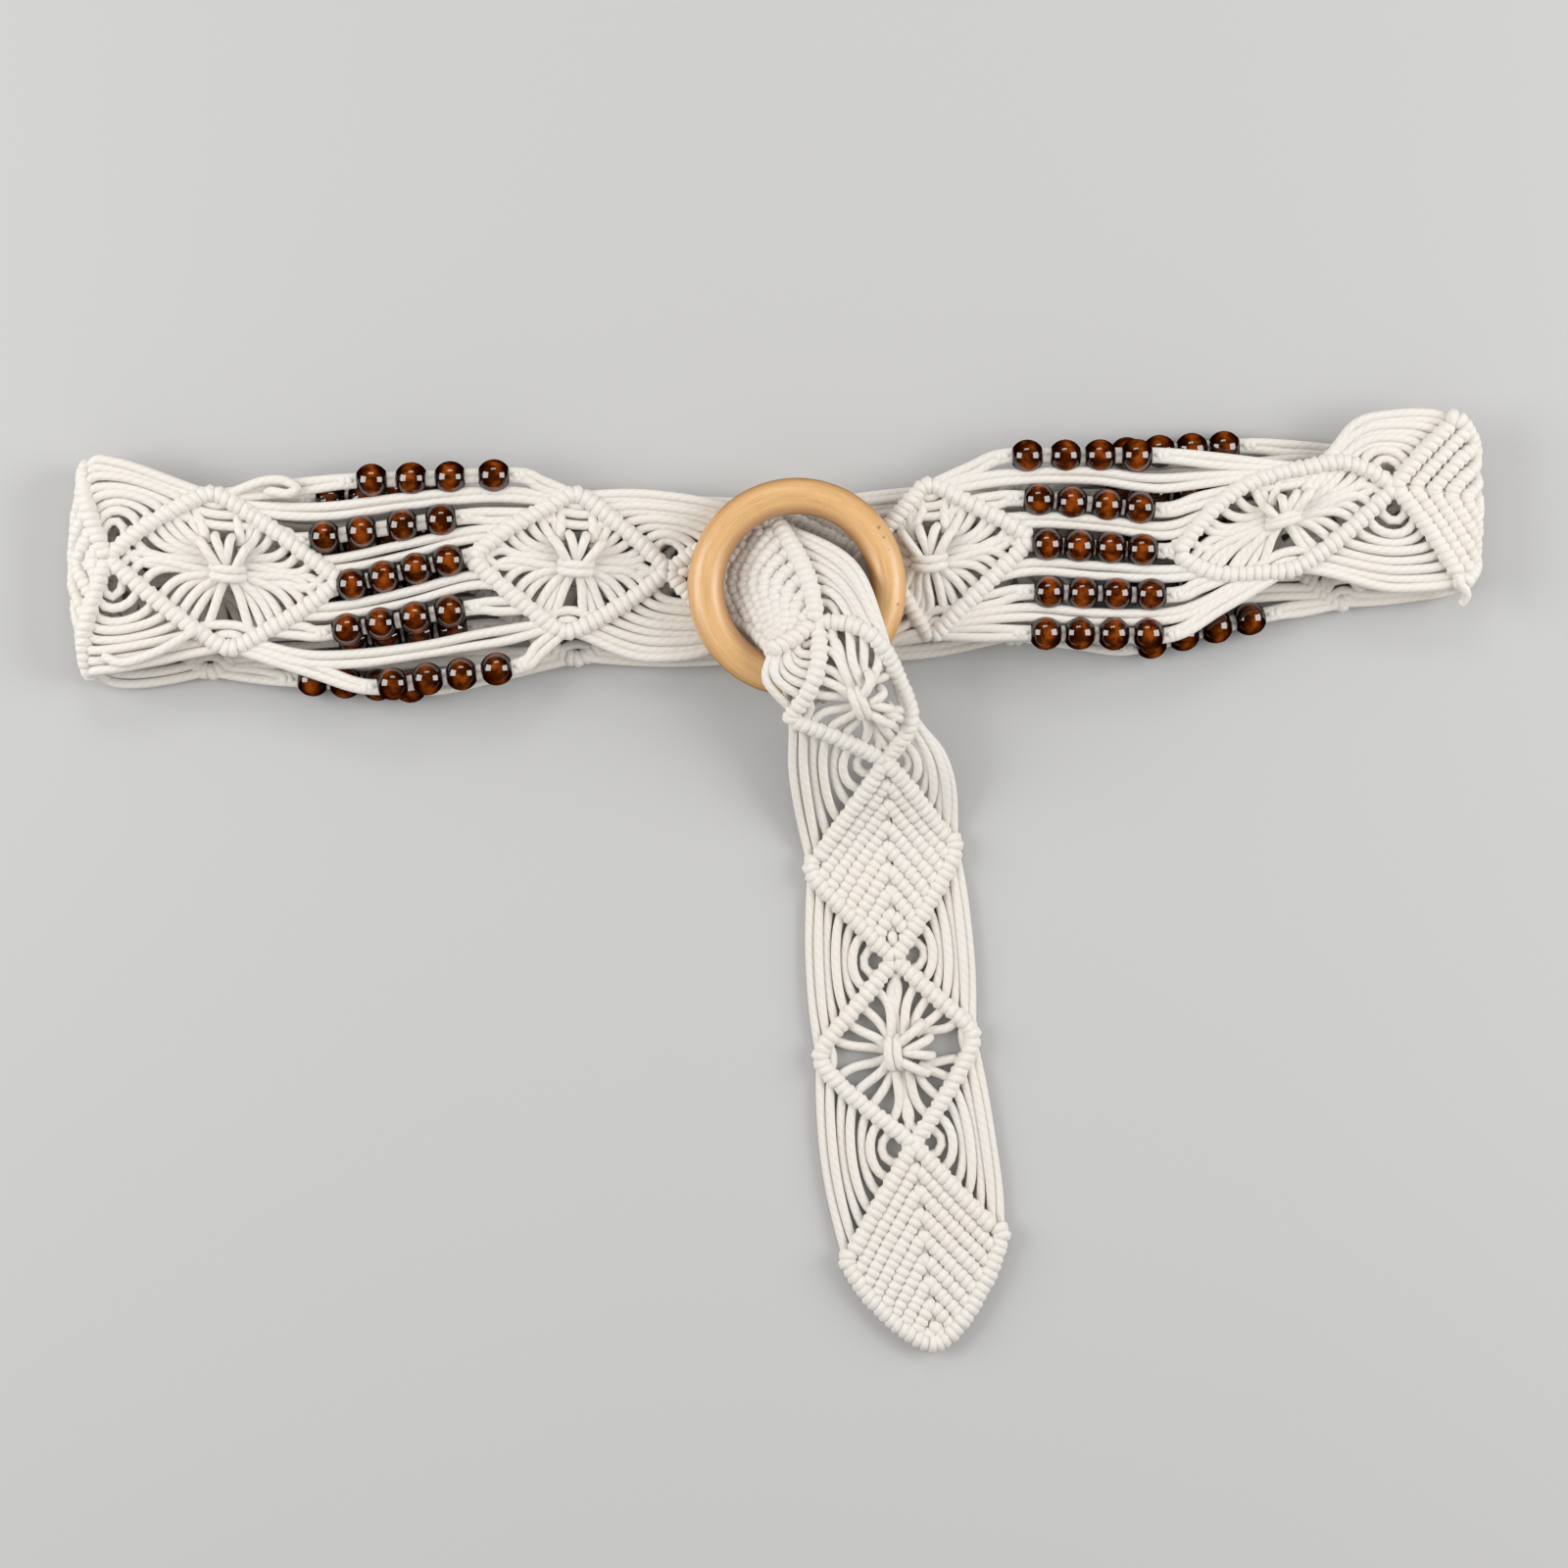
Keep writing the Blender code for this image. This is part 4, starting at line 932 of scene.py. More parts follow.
class Tree:
    """A Geometry Nodes tree that is built node by node."""

    def __init__(self, name, inputs):
        self.tree = bpy.data.node_groups.new(name, "GeometryNodeTree")
        face = self.tree.interface
        face.new_socket(name="Geometry", in_out="INPUT", socket_type="NodeSocketGeometry")
        for label, kind in inputs.items():
            face.new_socket(name=label, in_out="INPUT", socket_type="NodeSocket" + kind)
        face.new_socket(name="Geometry", in_out="OUTPUT", socket_type="NodeSocketGeometry")
        self.inputs = self.tree.nodes.new("NodeGroupInput").outputs
        self.out = self.tree.nodes.new("NodeGroupOutput")

    def node(self, kind, settings=None, values=None, output=0):
        """Adds a node, sets it up, links or sets its inputs, and returns one of its outputs."""
        made = self.tree.nodes.new(kind)
        for key, value in (settings or {}).items():
            setattr(made, key, value)
        for key, value in (values or {}).items():
            socket = made.inputs[key]
            if isinstance(value, bpy.types.NodeSocket):
                self.tree.links.new(value, socket)
            else:
                socket.default_value = value
        return made.outputs[output]

    def attribute(self, name, kind="FLOAT"):
        return self.node("GeometryNodeInputNamedAttribute", {"data_type": kind}, {"Name": name})

    def store(self, geometry, name, value, kind="FLOAT", domain="POINT"):
        settings = {"data_type": kind, "domain": domain}
        values = {"Geometry": geometry, "Name": name, "Value": value}
        return self.node("GeometryNodeStoreNamedAttribute", settings, values)

    def at_points(self, points, shape):
        """A copy of a shape at each point, turned and scaled by the point's attributes."""
        axes = {"primary_axis": "X", "secondary_axis": "Z"}
        along, out, girth = (self.attribute(name, "FLOAT_VECTOR") for name in ("along", "out", "girth"))
        facing = self.node("FunctionNodeAxesToRotation", axes, {0: along, 1: out})
        values = {"Points": points, "Instance": shape, "Rotation": facing, "Scale": girth}
        return self.node("GeometryNodeInstanceOnPoints", None, values)

    def join(self, *geometries):
        made = self.tree.nodes.new("GeometryNodeJoinGeometry")
        for geometry in reversed(geometries):
            self.tree.links.new(geometry, made.inputs[0])
        return made.outputs[0]

    def round_profile(self, sides, radius):
        """A circle that remembers its own angle, for a cord's twist."""
        values = {"Resolution": sides, "Radius": radius}
        circle = self.node("GeometryNodeCurvePrimitiveCircle", None, values)
        place = self.node("GeometryNodeInputPosition")
        way = self.node("ShaderNodeVectorMath", {"operation": "NORMALIZE"}, {0: place})
        parts = self.tree.nodes.new("ShaderNodeSeparateXYZ")
        self.tree.links.new(way, parts.inputs[0])
        circle = self.store(circle, "ring_cos", parts.outputs[0])
        return self.store(circle, "ring_sin", parts.outputs[1])

    def sweep(self, curve, profile):
        """A tube along a curve that also remembers the length along it."""
        length = self.node("GeometryNodeSplineParameter", output=1)
        curve = self.store(curve, "strand_length", length)
        values = {"Curve": curve, "Profile Curve": profile, "Fill Caps": True}
        return self.node("GeometryNodeCurveToMesh", None, values)

    def finish(self, geometry, strand=True):
        """Realizes what is left as instances, smooths it, gives it its material and ends the tree."""
        geometry = self.node("GeometryNodeRealizeInstances", None, {"Geometry": geometry})
        if strand:
            values = {
                "X": self.attribute("ring_cos"), "Y": self.attribute("ring_sin"),
                "Z": self.attribute("strand_length"),
            }
            place = self.node("ShaderNodeCombineXYZ", None, values)
            geometry = self.store(geometry, "strand", place, "FLOAT_VECTOR")
        geometry = self.node("GeometryNodeSetShadeSmooth", None, {"Geometry": geometry})
        values = {"Geometry": geometry, "Material": self.inputs["Material"]}
        geometry = self.node("GeometryNodeSetMaterial", None, values)
        self.tree.links.new(geometry, self.out.inputs[0])
        return self.tree


def cord_tree():
    """Cords along the edges of a mesh, and a wrap of cord round each loose point."""
    tree = Tree("Knotted cords", {
        "Cord radius": "Float", "Wrap radius": "Float", "Wrap wide": "Float", "Wrap high": "Float",
        "Material": "Material",
    })
    values = {"Geometry": tree.inputs[0], "Selection": tree.attribute("is_wrap", "BOOLEAN")}
    wraps = tree.node("GeometryNodeSeparateGeometry", {"domain": "POINT"}, values)
    lines = tree.node("GeometryNodeMeshToCurve", None, {"Mesh": wraps.node.outputs[1]})
    girth = tree.node("ShaderNodeSeparateXYZ", None, {0: tree.attribute("girth", "FLOAT_VECTOR")})
    lines = tree.node("GeometryNodeSetCurveRadius", None, {"Curve": lines, "Radius": girth})
    cords = tree.sweep(lines, tree.round_profile(CORD_FACETS, tree.inputs["Cord radius"]))
    circle = {"Resolution": HOOP_STEPS, "Radius": 1.0}
    ring = tree.node("GeometryNodeCurvePrimitiveCircle", None, circle)
    scale = {"X": tree.inputs["Wrap high"], "Y": tree.inputs["Wrap wide"], "Z": 1.0}
    scale = tree.node("ShaderNodeCombineXYZ", None, scale)
    ring = tree.node("GeometryNodeTransform", None, {"Geometry": ring, "Scale": scale})
    upright = {"Geometry": ring, "Rotation": (0.0, math.pi / 2, 0.0)}
    ring = tree.node("GeometryNodeTransform", None, upright)
    hoop = tree.sweep(ring, tree.round_profile(HOOP_FACETS, tree.inputs["Wrap radius"]))
    return tree.finish(tree.join(cords, tree.at_points(wraps, hoop)))


def ring_tree():
    """A turned ring: a round section carried round a circle."""
    tree = Tree("Turned ring", {
        "Ring radius": "Float", "Tube radius": "Float", "Material": "Material",
    })
    values = {"Resolution": RING_STEPS, "Radius": tree.inputs["Ring radius"]}
    circle = tree.node("GeometryNodeCurvePrimitiveCircle", None, values)
    turn = {"Geometry": circle, "Rotation": (0.0, 0.0, RING_SEAM)}
    circle = tree.node("GeometryNodeTransform", None, turn)
    ring = tree.sweep(circle, tree.round_profile(RING_FACETS, tree.inputs["Tube radius"]))
    place = {"Geometry": ring, "Translation": tuple(RING_CENTRE + (0, 0, RING_LEVEL))}
    return tree.finish(tree.node("GeometryNodeTransform", None, place))


def bead_tree():
    """A bead at each point, turned along its string, with its own tone."""
    tree = Tree("Strings of beads", {"Bead": "Object", "Seed": "Int", "Material": "Material"})
    bead = tree.node("GeometryNodeObjectInfo", None, {"Object": tree.inputs["Bead"]})
    beads = tree.at_points(tree.inputs[0], bead.node.outputs["Geometry"])
    seed = {"Seed": tree.inputs["Seed"]}
    tone = tree.node("FunctionNodeRandomValue", {"data_type": "FLOAT"}, seed, 1)
    beads = tree.store(beads, "tone", tone, domain="INSTANCE")
    return tree.finish(beads, strand=False)


def with_bmesh(mesh, change):
    """Edits a mesh in place."""
    bm = bmesh.new()
    bm.from_mesh(mesh)
    change(bm)
    bm.to_mesh(mesh)
    bm.free()


def placed(name, data):
    """A new object in the scene."""
    made = bpy.data.objects.new(name, data)
    bpy.context.scene.collection.objects.link(made)
    return made


def face_outward(bm):
    if bm.calc_volume(signed=True) < 0:
        bmesh.ops.reverse_faces(bm, faces=bm.faces)


def baked(name, mesh, tree, inputs):
    """A plain object made from a mesh and a tree; the modifier doesn't stay."""
    source = placed(name + "_source", mesh)
    modifier = source.modifiers.new("tree", "NODES")
    modifier.node_group = tree
    for item in tree.interface.items_tree:
        if item.item_type == "SOCKET" and item.in_out == "INPUT" and item.name in inputs:
            modifier[item.identifier] = inputs[item.name]
    graph = bpy.context.evaluated_depsgraph_get()
    result = bpy.data.meshes.new_from_object(source.evaluated_get(graph))
    result.name = name
    bpy.data.objects.remove(source)
    with_bmesh(result, face_outward)
    return placed(name, result)


def cord_mesh(work, name):
    """The points and edges that the cord tree reads."""
    points, edges, wraps, along, out, girth = [], [], [], [], [], []
    for world, thick, closed in work.strands:
        start = len(points)
        points += [tuple(point) for point in world]
        edges += [(start + i, start + i + 1) for i in range(len(world) - 1)]
        if closed:
            edges.append((start + len(world) - 1, start))
        wraps += [False] * len(world)
        along += [(1.0, 0.0, 0.0)] * len(world)
        out += [(0.0, 0.0, 1.0)] * len(world)
        girth += [(thick, thick, thick)] * len(world)
    for point, way, up, scale in work.wraps:
        points.append(tuple(point))
        wraps.append(True)
        along.append(tuple(way))
        out.append(tuple(up))
        girth.append(tuple(scale))
    return point_mesh(name, points, edges, {"is_wrap": ("BOOLEAN", wraps)}, along, out, girth)


def point_mesh(name, points, edges, more, along, out, girth):
    mesh = bpy.data.meshes.new(name)
    mesh.from_pydata(points, edges, [])
    vectors = {"along": along, "out": out, "girth": girth}
    for label, values in vectors.items():
        layer = mesh.attributes.new(label, "FLOAT_VECTOR", "POINT")
        layer.data.foreach_set("vector", np.array(values, float).ravel())
    for label, (kind, values) in more.items():
        layer = mesh.attributes.new(label, kind, "POINT")
        layer.data.foreach_set("value", values)
    return mesh


class Number:
    """A number in a shader: arithmetic on it adds Math nodes."""

    def __init__(self, shader, socket):
        self.shader = shader
        self.socket = socket

    def math(self, operation, *values):
        return self.shader.number("ShaderNodeMath", {"operation": operation}, dict(enumerate(values)))

    def __add__(self, other):
        return self.math("ADD", self, other)

    __radd__ = __add__

    def __mul__(self, other):
        return self.math("MULTIPLY", self, other)

    def __sub__(self, other):
        return self.math("SUBTRACT", self, other)

    def __rsub__(self, other):
        return self.math("SUBTRACT", other, self)

    def __pow__(self, other):
        return self.math("POWER", self, other)

    def __abs__(self):
        return self.math("ABSOLUTE", self)

    def wave(self):
        """A cosine, brought between 0 and 1."""
        return self.math("COSINE", self) * 0.5 + 0.5

    def between(self, low, high):
        """0 below low, 1 above high, and smooth between them."""
        settings = {"interpolation_type": "SMOOTHSTEP", "clamp": True}
        values = {"Value": self, "From Min": low, "From Max": high}
        return self.shader.number("ShaderNodeMapRange", settings, values)


class Shader:
    """A material with one Principled shader, built from expressions."""

    def __init__(self, name, constants):
        self.material = bpy.data.materials.new(name)
        self.material.use_nodes = True
        self.tree = self.material.node_tree
        self.surface = self.tree.nodes["Principled BSDF"]
        for key, value in constants.items():
            self.surface.inputs[key].default_value = value

    def node(self, kind, settings=None, values=None):
        """Adds a node, sets it up first, and then links or sets its inputs."""
        made = self.tree.nodes.new(kind)
        for key, value in (settings or {}).items():
            setattr(made, key, value)
        for key, value in (values or {}).items():
            self.feed(made.inputs[key], value)
        return made

    def feed(self, socket, value):
        if isinstance(value, Number):
            value = value.socket
        if isinstance(value, bpy.types.NodeSocket):
            self.tree.links.new(value, socket)
        else:
            socket.default_value = value

    def number(self, kind, settings=None, values=None):
        return Number(self, self.node(kind, settings, values).outputs[0])

    def attribute(self, name, output="Vector"):
        return self.node("ShaderNodeAttribute", {"attribute_name": name}).outputs[output]

    def parts(self, vector):
        made = self.node("ShaderNodeSeparateXYZ", None, {0: vector})
        return [Number(self, socket) for socket in made.outputs]

    def vector(self, x, y, z):
        return self.node("ShaderNodeCombineXYZ", None, {0: x, 1: y, 2: z}).outputs[0]

    def object_place(self):
        return self.node("ShaderNodeTexCoord").outputs["Object"]

    def noise(self, vector, scale, detail=2.0, roughness=0.5):
        values = {"Vector": vector, "Scale": scale, "Detail": detail, "Roughness": roughness}
        return self.number("ShaderNodeTexNoise", None, values)

    def blend(self, factor, low, high):
        """A colour between two."""
        values = {0: factor, 6: low, 7: high}
        return self.node("ShaderNodeMix", {"data_type": "RGBA"}, values).outputs[2]

    def bump(self, height, distance, strength):
        values = {"Height": height, "Distance": distance, "Strength": strength}
        return self.node("ShaderNodeBump", None, values).outputs[0]

    def finish(self, **inputs):
        for key, value in inputs.items():
            self.feed(self.surface.inputs[key.replace("_", " ")], value)
        return self.material


def rgba(colour):
    return (*colour, 1.0)


def tinted(colour, factor):
    return rgba([min(1.0, part * factor) for part in colour])


def cotton_material(tone):
    """Soft twisted cotton: plies wind round the cord, with fine fibres, uneven tone and painted shade
    in ply grooves.
    """
    shader = Shader("cream_cotton", {"Roughness": 0.92, "Sheen Weight": 0.25, "Sheen Roughness": 0.5})
    across, up, length = shader.parts(shader.attribute("strand"))
    angle = up.math("ARCTAN2", up, across)
    plies, threads = (
        (angle * count + length * (count * 2 * math.pi / turn)).wave() for count, turn in TWISTS
    )
    place = shader.object_place()
    fuzz = shader.noise(place, 1500.0, 3.0, 0.65)
    lumps = shader.noise(place, 420.0, 2.0, 0.5)
    patches = shader.noise(place, 60.0, 3.0, 0.55)
    base = shader.blend(patches.between(0.35, 0.7), rgba(tone), rgba(WARM_COTTON))
    # Painted shade in the grooves between the plies, plus the fibres' random tone, darkens towards a
    # deeper cream
    groove_shade_and_fibre_tone = (1 - plies) ** 3.0 * 0.16 + (fuzz - 0.5) * 0.3
    base = shader.blend(groove_shade_and_fibre_tone, base, tinted(tone, 0.6))
    relief = plies ** 0.6 * 0.26 + threads * 0.10 + fuzz * 0.5 + lumps * 0.4
    return shader.finish(Base_Color=base, Normal=shader.bump(relief, 0.32 * MM, 0.7))


def ring_material(tone):
    """Turned and waxed wood: fine grain along the ring, painted shade at its inner and outer edges and
    a few specks.
    """
    shader = Shader("honey_wood", {"Coat Roughness": 0.32, "Coat Weight": 0.8})
    across, up, length = shader.parts(shader.attribute("strand"))
    fibres = shader.noise(shader.vector(across * 9, up * 9, length * 60), 2.0, 4.0, 0.6)
    bands = shader.noise(shader.vector(across * 1.5, up * 1.5, length * 22), 1.4, 2.0)
    pores = shader.noise(shader.vector(across * 30, up * 30, length * 420), 2.0, 2.0)
    x, y, z = shader.parts(shader.object_place())

    def away(dx, dy):
        """Distance in plan from a place given from the ring's middle."""
        right, ahead = (float(value) for value in RING_CENTRE[:2] + (dx, dy))
        return ((x - right) ** 2.0 + (y - ahead) ** 2.0) ** 0.5

    from_middle = away(0.0, 0.0)
    # Masks of painted shade at the tube's inner and outer edges, darker towards the hole and the rim
    inner = 1 - from_middle.between(*INNER_SHADE_EDGE)
    outer = from_middle.between(*OUTER_SHADE_EDGE)
    base = shader.blend(bands, tinted(tone, 0.8), tinted(tone, 1.25))
    # Fibres and pores are the wood's own grain; the outer and inner masks paint shade on the tube's
    # edges
    for share, stain in (
        (fibres.between(0.42, 0.70) * 0.36, (0.42, 0.17, 0.045)),
        (outer * 0.5, (0.50, 0.24, 0.07)),
        (inner * 0.7, (0.30, 0.11, 0.03)),
        (pores.between(0.62, 0.72) * 0.5, (0.20, 0.075, 0.022)),
    ):
        base = shader.blend(share, base, rgba(stain))
    for dx, dy, size in SPECKS:
        speck = 1 - away(dx, dy).between(size / 2, size)
        speck = speck * z.between(RING_LEVEL, RING_LEVEL + MM)
        base = shader.blend(speck * 0.6, base, rgba((0.14, 0.06, 0.025)))
    relief = fibres * 0.5 + pores * 0.5
    rough = 0.40 + fibres * 0.12
    return shader.finish(Base_Color=base, Roughness=rough, Normal=shader.bump(relief, 0.05 * MM, 0.5))


def bead_material(tone):
    """Stained wood under lacquer: painted glow, as of light in the lacquer, at the waist; near-black
    ends.
    """
    shader = Shader("lacquered_wood", {
        "Roughness": 0.5, "Specular IOR Level": 0.0, "Coat Weight": 1.0, "Coat Roughness": 0.05,
        "Coat IOR": 1.9, "Coat Tint": rgba((0.62, 0.46, 0.34)),
    })
    own = Number(shader, shader.attribute("tone", "Fac"))
    x, y, z = shader.parts(shader.attribute("bead_place"))
    place = shader.vector(x * 0.8 + own * 40, y * 1.1, z * 1.1 + own * 9)
    grain = shader.noise(place, 1.4, 2.0, 0.5)
    lines = shader.noise(shader.vector(x * 14 + own * 17, y * 3, z * 3), 1.5, 3.0, 0.6)
    # Painted glow: the waist is brightened towards the warm tone, as if light shone through the
    # lacquer, broken up by the grain
    waist = 1 - abs(x).between(0.0, 0.74)
    painted_glow = waist * (0.11 + grain.between(0.37, 0.66) * 0.70)
    base = shader.blend(painted_glow, rgba(DARK_STAIN), rgba(tone))
    base = shader.blend(lines.between(0.50, 0.74) * 0.3, base, rgba(STAIN_LINES))
    return shader.finish(Base_Color=base)


def floor_material(tone):
    """Plain matt studio paper."""
    shader = Shader("studio_floor", {"Roughness": 0.85})
    cloud = shader.noise(shader.object_place(), 3.0, 2.0)
    base = shader.blend(cloud, tinted(tone, 0.985), tinted(tone, 1.015))
    return shader.finish(Base_Color=base)


def length_setting(name, description, default):
    return FloatProperty(name=name, description=description, default=default, unit="LENGTH")


def power_setting(name, description, default):
    return FloatProperty(name=name, description=description, default=default, unit="POWER")


def colour_setting(name, description, default):
    return FloatVectorProperty(
        name=name, description=description, default=default, size=3, subtype="COLOR", min=0, max=1)


class CordSettings(PropertyGroup):
    """Sizes and colour of the knotted cords."""

    cord_wide: length_setting("Cord", "Thickness of a plain cord", 2.9 * MM)
    wrap_thick: length_setting("Wrap", "Thickness of a cord where it wraps a row", 3.2 * MM)
    row_wide: length_setting("Row", "Width of a row of hitches", 5.8 * MM)
    row_high: length_setting("Row height", "Height of a row of hitches", 5.2 * MM)
    tone: colour_setting("Cotton", "Colour of the cotton", (0.75, 0.716, 0.664))


class BeadSettings(PropertyGroup):
    """Sizes and colour of the beads."""

    wide: length_setting("Bead width", "Width of a bead", BEAD_WIDE)
    long: length_setting("Bead length", "Length of a bead along its string", BEAD_LONG)
    sides: IntProperty(name="Facets", description="Facets round a bead", default=24, min=8)
    # The warm colour of the painted glow at each bead's waist
    tone: colour_setting("Stain", "Warm colour under the lacquer", (0.60, 0.165, 0.02))


class RingSettings(PropertyGroup):
    """Sizes and colour of the ring."""

    outer: length_setting("Ring", "Outer diameter of the ring", RING_OUTER)
    tube: length_setting("Tube", "Thickness of the ring", RING_TUBE)
    tone: colour_setting("Wood", "Colour of the wood", (0.715, 0.425, 0.175))


class StudioSettings(PropertyGroup):
    """The floor, the lights and the camera."""

    tone: colour_setting("Floor", "Colour of the floor", (0.50, 0.497, 0.49))
    key: power_setting("Key", "Power of the key light", 9.6)
    fill: power_setting("Fill", "Power of the fill light", 9.6)
    frame: length_setting("Frame", "Width that the camera sees", 480.0 * MM)
    stand_off: length_setting("Camera height", "Height of the camera above the floor", 1.25)


class BeltSettings(PropertyGroup):
    """All sizes and colours of the belt."""

    cords: PointerProperty(type=CordSettings)
    beads: PointerProperty(type=BeadSettings)
    ring: PointerProperty(type=RingSettings)
    studio: PointerProperty(type=StudioSettings)


def belt():
    return bpy.context.scene.belt_settings


def cord_sizes():
    return belt().cords


def dress(piece, nodes):
    """The piece stands for its solids and takes their place on the body."""
    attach(piece, "root")
    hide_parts(*nodes)


def make_cord_piece(node, work, tree, material):
    """The cords that stand for one solid."""
    name = node + "_cords"
    cords = cord_sizes()
    piece = baked(name, cord_mesh(work, name), tree, {
        "Cord radius": cords.cord_wide / 2,
        "Wrap radius": cords.wrap_thick / 2,
        "Wrap wide": (cords.row_wide - cords.wrap_thick) / 2,
        "Wrap high": (cords.row_high - cords.wrap_thick) / 2,
        "Material": material,
    })
    dress(piece, [node])


class BELT_OT_ring(Operator):
    """Make the turned wooden ring"""

    bl_idname = "belt.make_ring"
    bl_label = "Make the ring"

    def execute(self, context):
        ring = belt().ring
        seed = bpy.data.meshes.new("ring_seed")
        piece = baked("wooden_ring", seed, ring_tree(), {
            "Ring radius": (ring.outer - ring.tube) / 2,
            "Tube radius": ring.tube / 2,
            "Material": ring_material(ring.tone),
        })
        dress(piece, ["ring"])
        return {"FINISHED"}


class BELT_OT_straps(Operator):
    """Make the knotted strap, and the loops of cord that hold it on the ring"""

    bl_idname = "belt.make_straps"
    bl_label = "Make the cord work"

    def execute(self, context):
        tree = cord_tree()
        material = cotton_material(cord_sizes().tone)
        diamonds = [Diamond(*row) for row in DIAMONDS]
        works = {diamond.node: Knotting() for diamond in diamonds}
        fan_cords(works["open_right_front"], diamonds[0])
        for diamond in diamonds:
            if diamond.kind == "open":
                open_diamond(works[diamond.node], diamond)
            else:
                filled_diamond(works[diamond.node], diamond)
            loose_cords(works[diamond.node], diamond)
        for before, after in zip(diamonds[:-1], diamonds[1:]):
            if before.last < after.first:
                bead_cords(works[before.node], before, after, STRINGS[before.node])
            else:
                holder = after if after.kind == "open" else before
                side_cords(works[holder.node], before, after)
        for node, work in works.items():
            make_cord_piece(node, work, tree, material)
        mount = Knotting()
        mount_cords(mount)
        make_cord_piece("ring_mount", mount, tree, material)
        return {"FINISHED"}


def bead_mesh(beads):
    """One turned bead along X: a barrel with soft shoulders, a bore and rounded mouths."""
    outer = [(x, math.sqrt(1 - (x / BEAD_ROUND)**2)) for x in BEAD_PLACES] + [*BEAD_MOUTH]
    half = beads.long / 2
    radius = beads.wide / 2
    profile = [(-x * half, r * radius) for x, r in reversed(outer[1:])]
    profile += [(x * half, r * radius) for x, r in outer]
    sides = beads.sides
    turn = np.linspace(0, 2 * math.pi, sides, endpoint=False)
    points = [(x, r * math.cos(a), r * math.sin(a)) for x, r in profile for a in turn]
    faces = []
    rows = len(profile)
    for row in range(rows):
        for side in range(sides):
            after = (side + 1) % sides
            lower = (row + 1) % rows
            faces.append((
                row * sides + side, row * sides + after, lower * sides + after, lower * sides + side,
            ))
    mesh = bpy.data.meshes.new("bead")
    mesh.from_pydata(points, [], faces)
    with_bmesh(mesh, lambda bm: bmesh.ops.recalc_face_normals(bm, faces=bm.faces))
    place = mesh.attributes.new("bead_place", "FLOAT_VECTOR", "POINT")
    place.data.foreach_set("vector", (np.array(points) / (half, radius, radius)).ravel())
    return mesh


class BELT_OT_beads(Operator):
    """Make the strings of turned beads"""

    bl_idname = "belt.make_beads"
    bl_label = "Make the beads"

    def execute(self, context):
        beads = belt().beads
        bead = placed("bead", bead_mesh(beads))
        tree = bead_tree()
        material = bead_material(beads.tone)
        for group, height, rows in STRINGS.values():
            points, along, out, girth = [], [], [], []
            for row in rows:
                first, last = bead_line(row, height)
                way = unit(last - first)
                pitch = np.linalg.norm(last - first) / (BEADS_IN_STRING - 1)
                free = max(0.0, pitch - beads.long - GAP)
                for number in range(BEADS_IN_STRING):
                    inside = 0 < number < BEADS_IN_STRING - 1
                    shift = RANDOM.uniform(-BEAD_SLIDE, BEAD_SLIDE) * free if inside else 0.0
                    place = mixed(first, last, number / (BEADS_IN_STRING - 1)) + way * shift
                    points.append(tuple(place))
                    lean = RANDOM.normal(0, BEAD_LEAN, 3) * (0, 1, 1)
                    along.append(tuple(unit(way + lean)))
                    spin = RANDOM.uniform(0, 2 * math.pi)
                    out.append((0.0, math.cos(spin), math.sin(spin)))
                    size = 1 - abs(RANDOM.normal(0, BEAD_SHRINK))
                    girth.append((size, size, size))
            mesh = point_mesh(group, points, [], {}, along, out, girth)
            inputs = {"Bead": bead, "Seed": SEED + len(group), "Material": material}
            piece = baked(group, mesh, tree, inputs)
            dress(piece, [f"{group}_{number}" for number in range(1, len(rows) + 1)])
        bpy.data.objects.remove(bead)
        return {"FINISHED"}


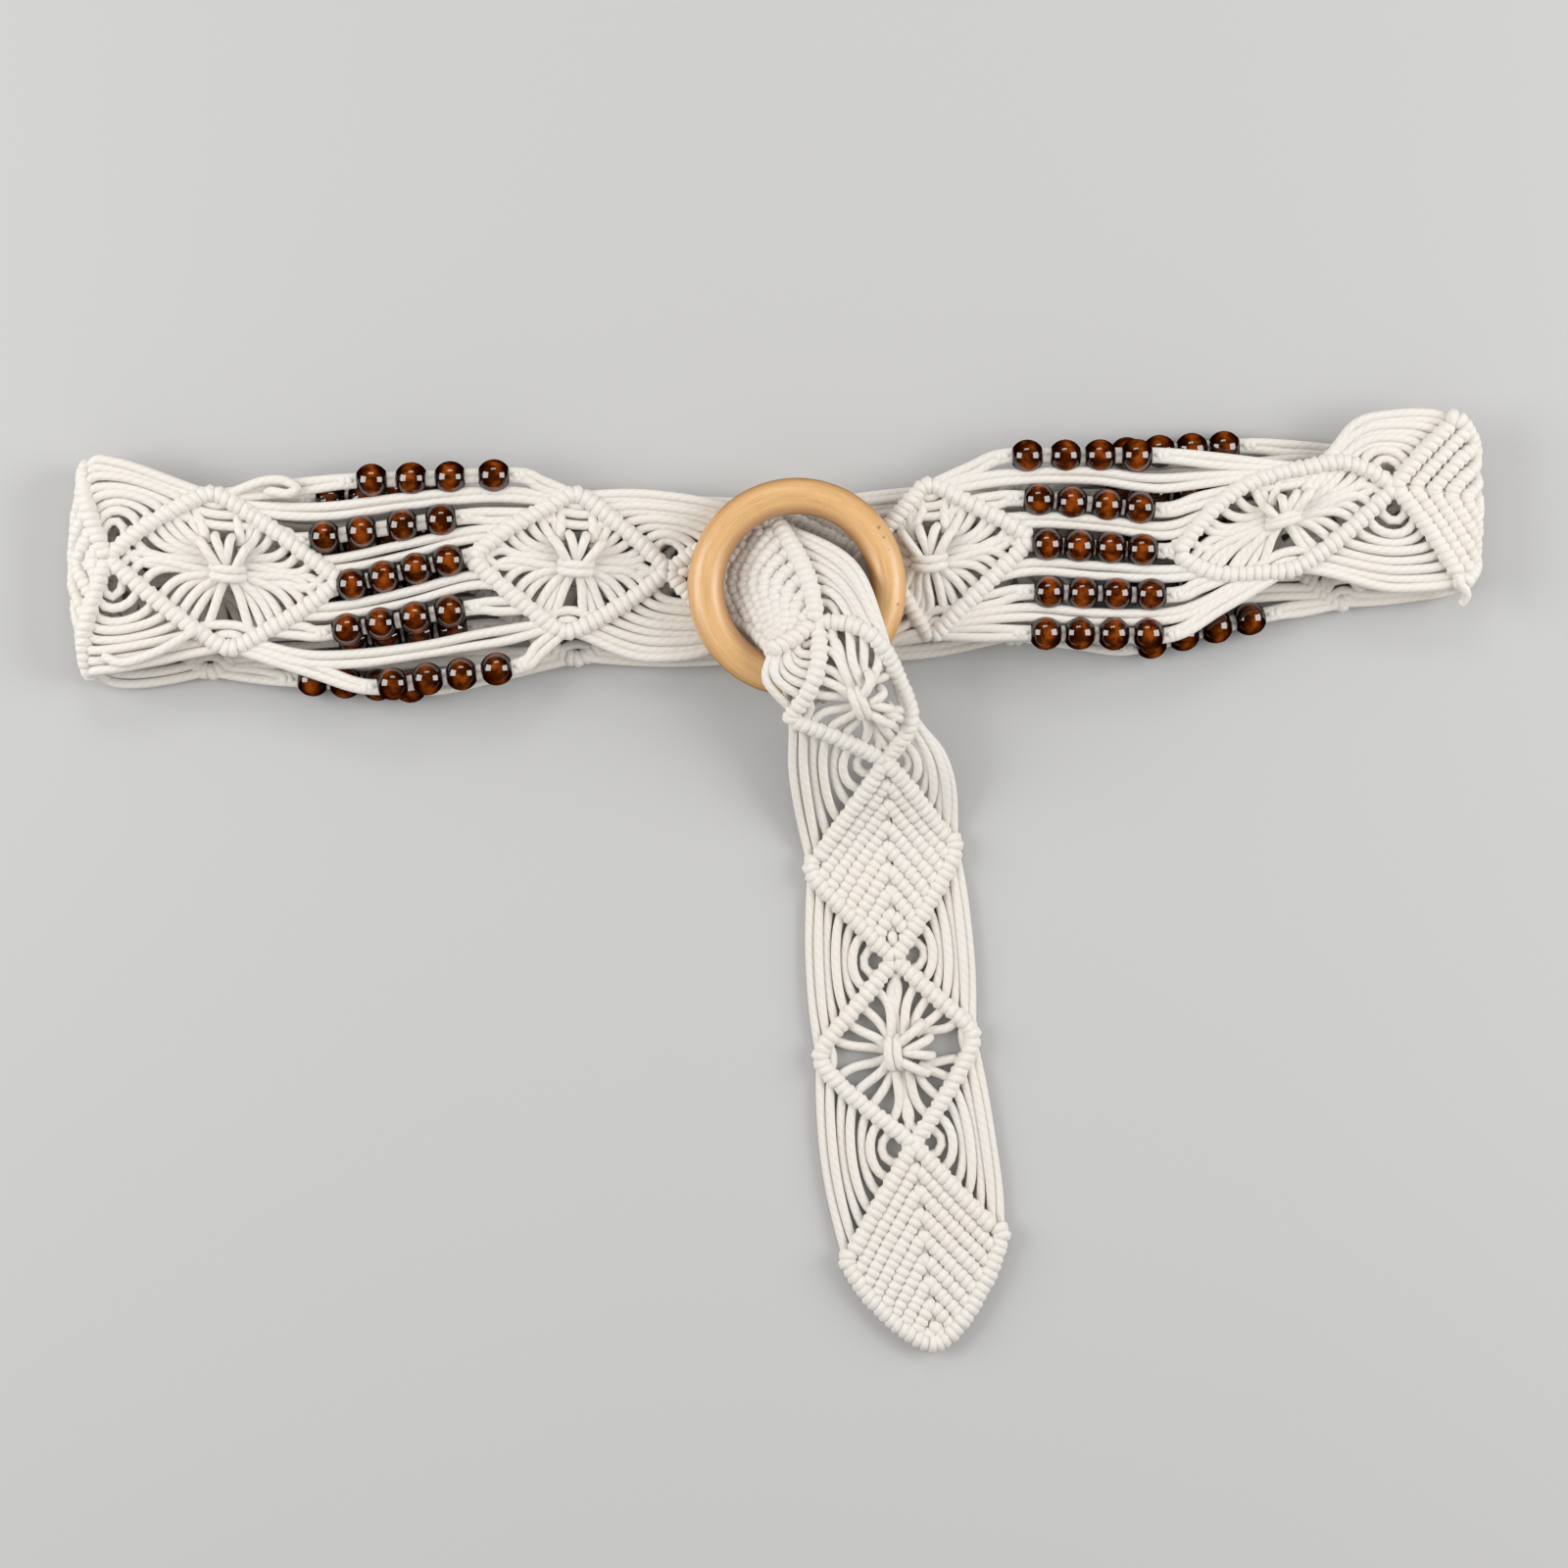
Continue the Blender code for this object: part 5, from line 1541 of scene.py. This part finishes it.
class BELT_OT_studio(Operator):
    """Make the floor, the lights and the camera"""

    bl_idname = "belt.make_studio"
    bl_label = "Make the studio"

    def execute(self, context):
        studio = belt().studio
        scene = context.scene
        mesh = bpy.data.meshes.new("floor")
        corners = np.array([(-1, -1, 0), (1, -1, 0), (1, 1, 0), (-1, 1, 0)]) * float(FLOOR_REACH)
        mesh.from_pydata(corners.tolist(), [], [(0, 1, 2, 3)])
        mesh.materials.append(floor_material(studio.tone))
        floor = placed("floor", mesh)
        floor.visible_glossy = False
        middle = Vector((*(RING_CENTRE[:2] + PICTURE_MIDDLE), 0.0))
        for name, source, place, share, size in LIGHTS:
            energy = getattr(studio, source) * share
            self.light(name, middle + Vector(place), middle, energy, size)
        world = bpy.data.worlds.new("studio_world")
        world.use_nodes = True
        backdrop = world.node_tree.nodes["Background"]
        backdrop.inputs["Color"].default_value = (1.0, 1.0, 1.0, 1.0)
        backdrop.inputs["Strength"].default_value = AMBIENT
        scene.world = world
        world.cycles_visibility.glossy = False
        lens = bpy.data.cameras.new("camera")
        lens.sensor_fit = "HORIZONTAL"
        lens.angle = 2 * math.atan(studio.frame / 2 / studio.stand_off)
        lens.clip_start = 0.01
        camera = placed("camera", lens)
        camera.location = middle + Vector((0, 0, studio.stand_off))
        scene.camera = camera
        scene.view_settings.view_transform = "Standard"
        return {"FINISHED"}

    def light(self, name, place, target, energy, size):
        data = bpy.data.lights.new(name, "AREA")
        data.shape = "RECTANGLE"
        data.size, data.size_y = size
        data.energy = energy
        made = placed(name, data)
        made.location = place
        made.rotation_mode = "QUATERNION"
        made.rotation_quaternion = (target - place).to_track_quat("-Z", "Y")


class BELT_PT_panel(Panel):
    """Lists what the belt is made of"""

    bl_label = "Macrame belt"
    bl_idname = "BELT_PT_panel"
    bl_space_type = "VIEW_3D"
    bl_region_type = "UI"
    bl_category = "Belt"

    def draw(self, context):
        groups = context.scene.belt_settings
        for title, group, names, operator in (
            ("Studio", groups.studio, ("tone", "key", "fill", "frame", "stand_off"), BELT_OT_studio),
            ("Ring", groups.ring, ("outer", "tube", "tone"), BELT_OT_ring),
            ("Cords", groups.cords, ("cord_wide", "wrap_thick", "row_wide", "row_high", "tone"),
             BELT_OT_straps),
            ("Beads", groups.beads, ("wide", "long", "sides", "tone"), BELT_OT_beads),
        ):
            box = self.layout.box()
            box.label(text=title)
            for name in names:
                box.prop(group, name)
            box.operator(operator.bl_idname)


CLASSES = (
    CordSettings, BeadSettings, RingSettings, StudioSettings, BeltSettings,
    BELT_OT_studio, BELT_OT_ring, BELT_OT_straps, BELT_OT_beads, BELT_PT_panel,
)


def register():
    for item in CLASSES:
        bpy.utils.register_class(item)
    bpy.types.Scene.belt_settings = PointerProperty(type=BeltSettings)


def unregister():
    del bpy.types.Scene.belt_settings
    for item in reversed(CLASSES):
        bpy.utils.unregister_class(item)


def main():
    register()
    bpy.ops.belt.make_studio()
    bpy.ops.belt.make_ring()
    bpy.ops.belt.make_straps()
    bpy.ops.belt.make_beads()


if __name__ == "__main__":
    main()
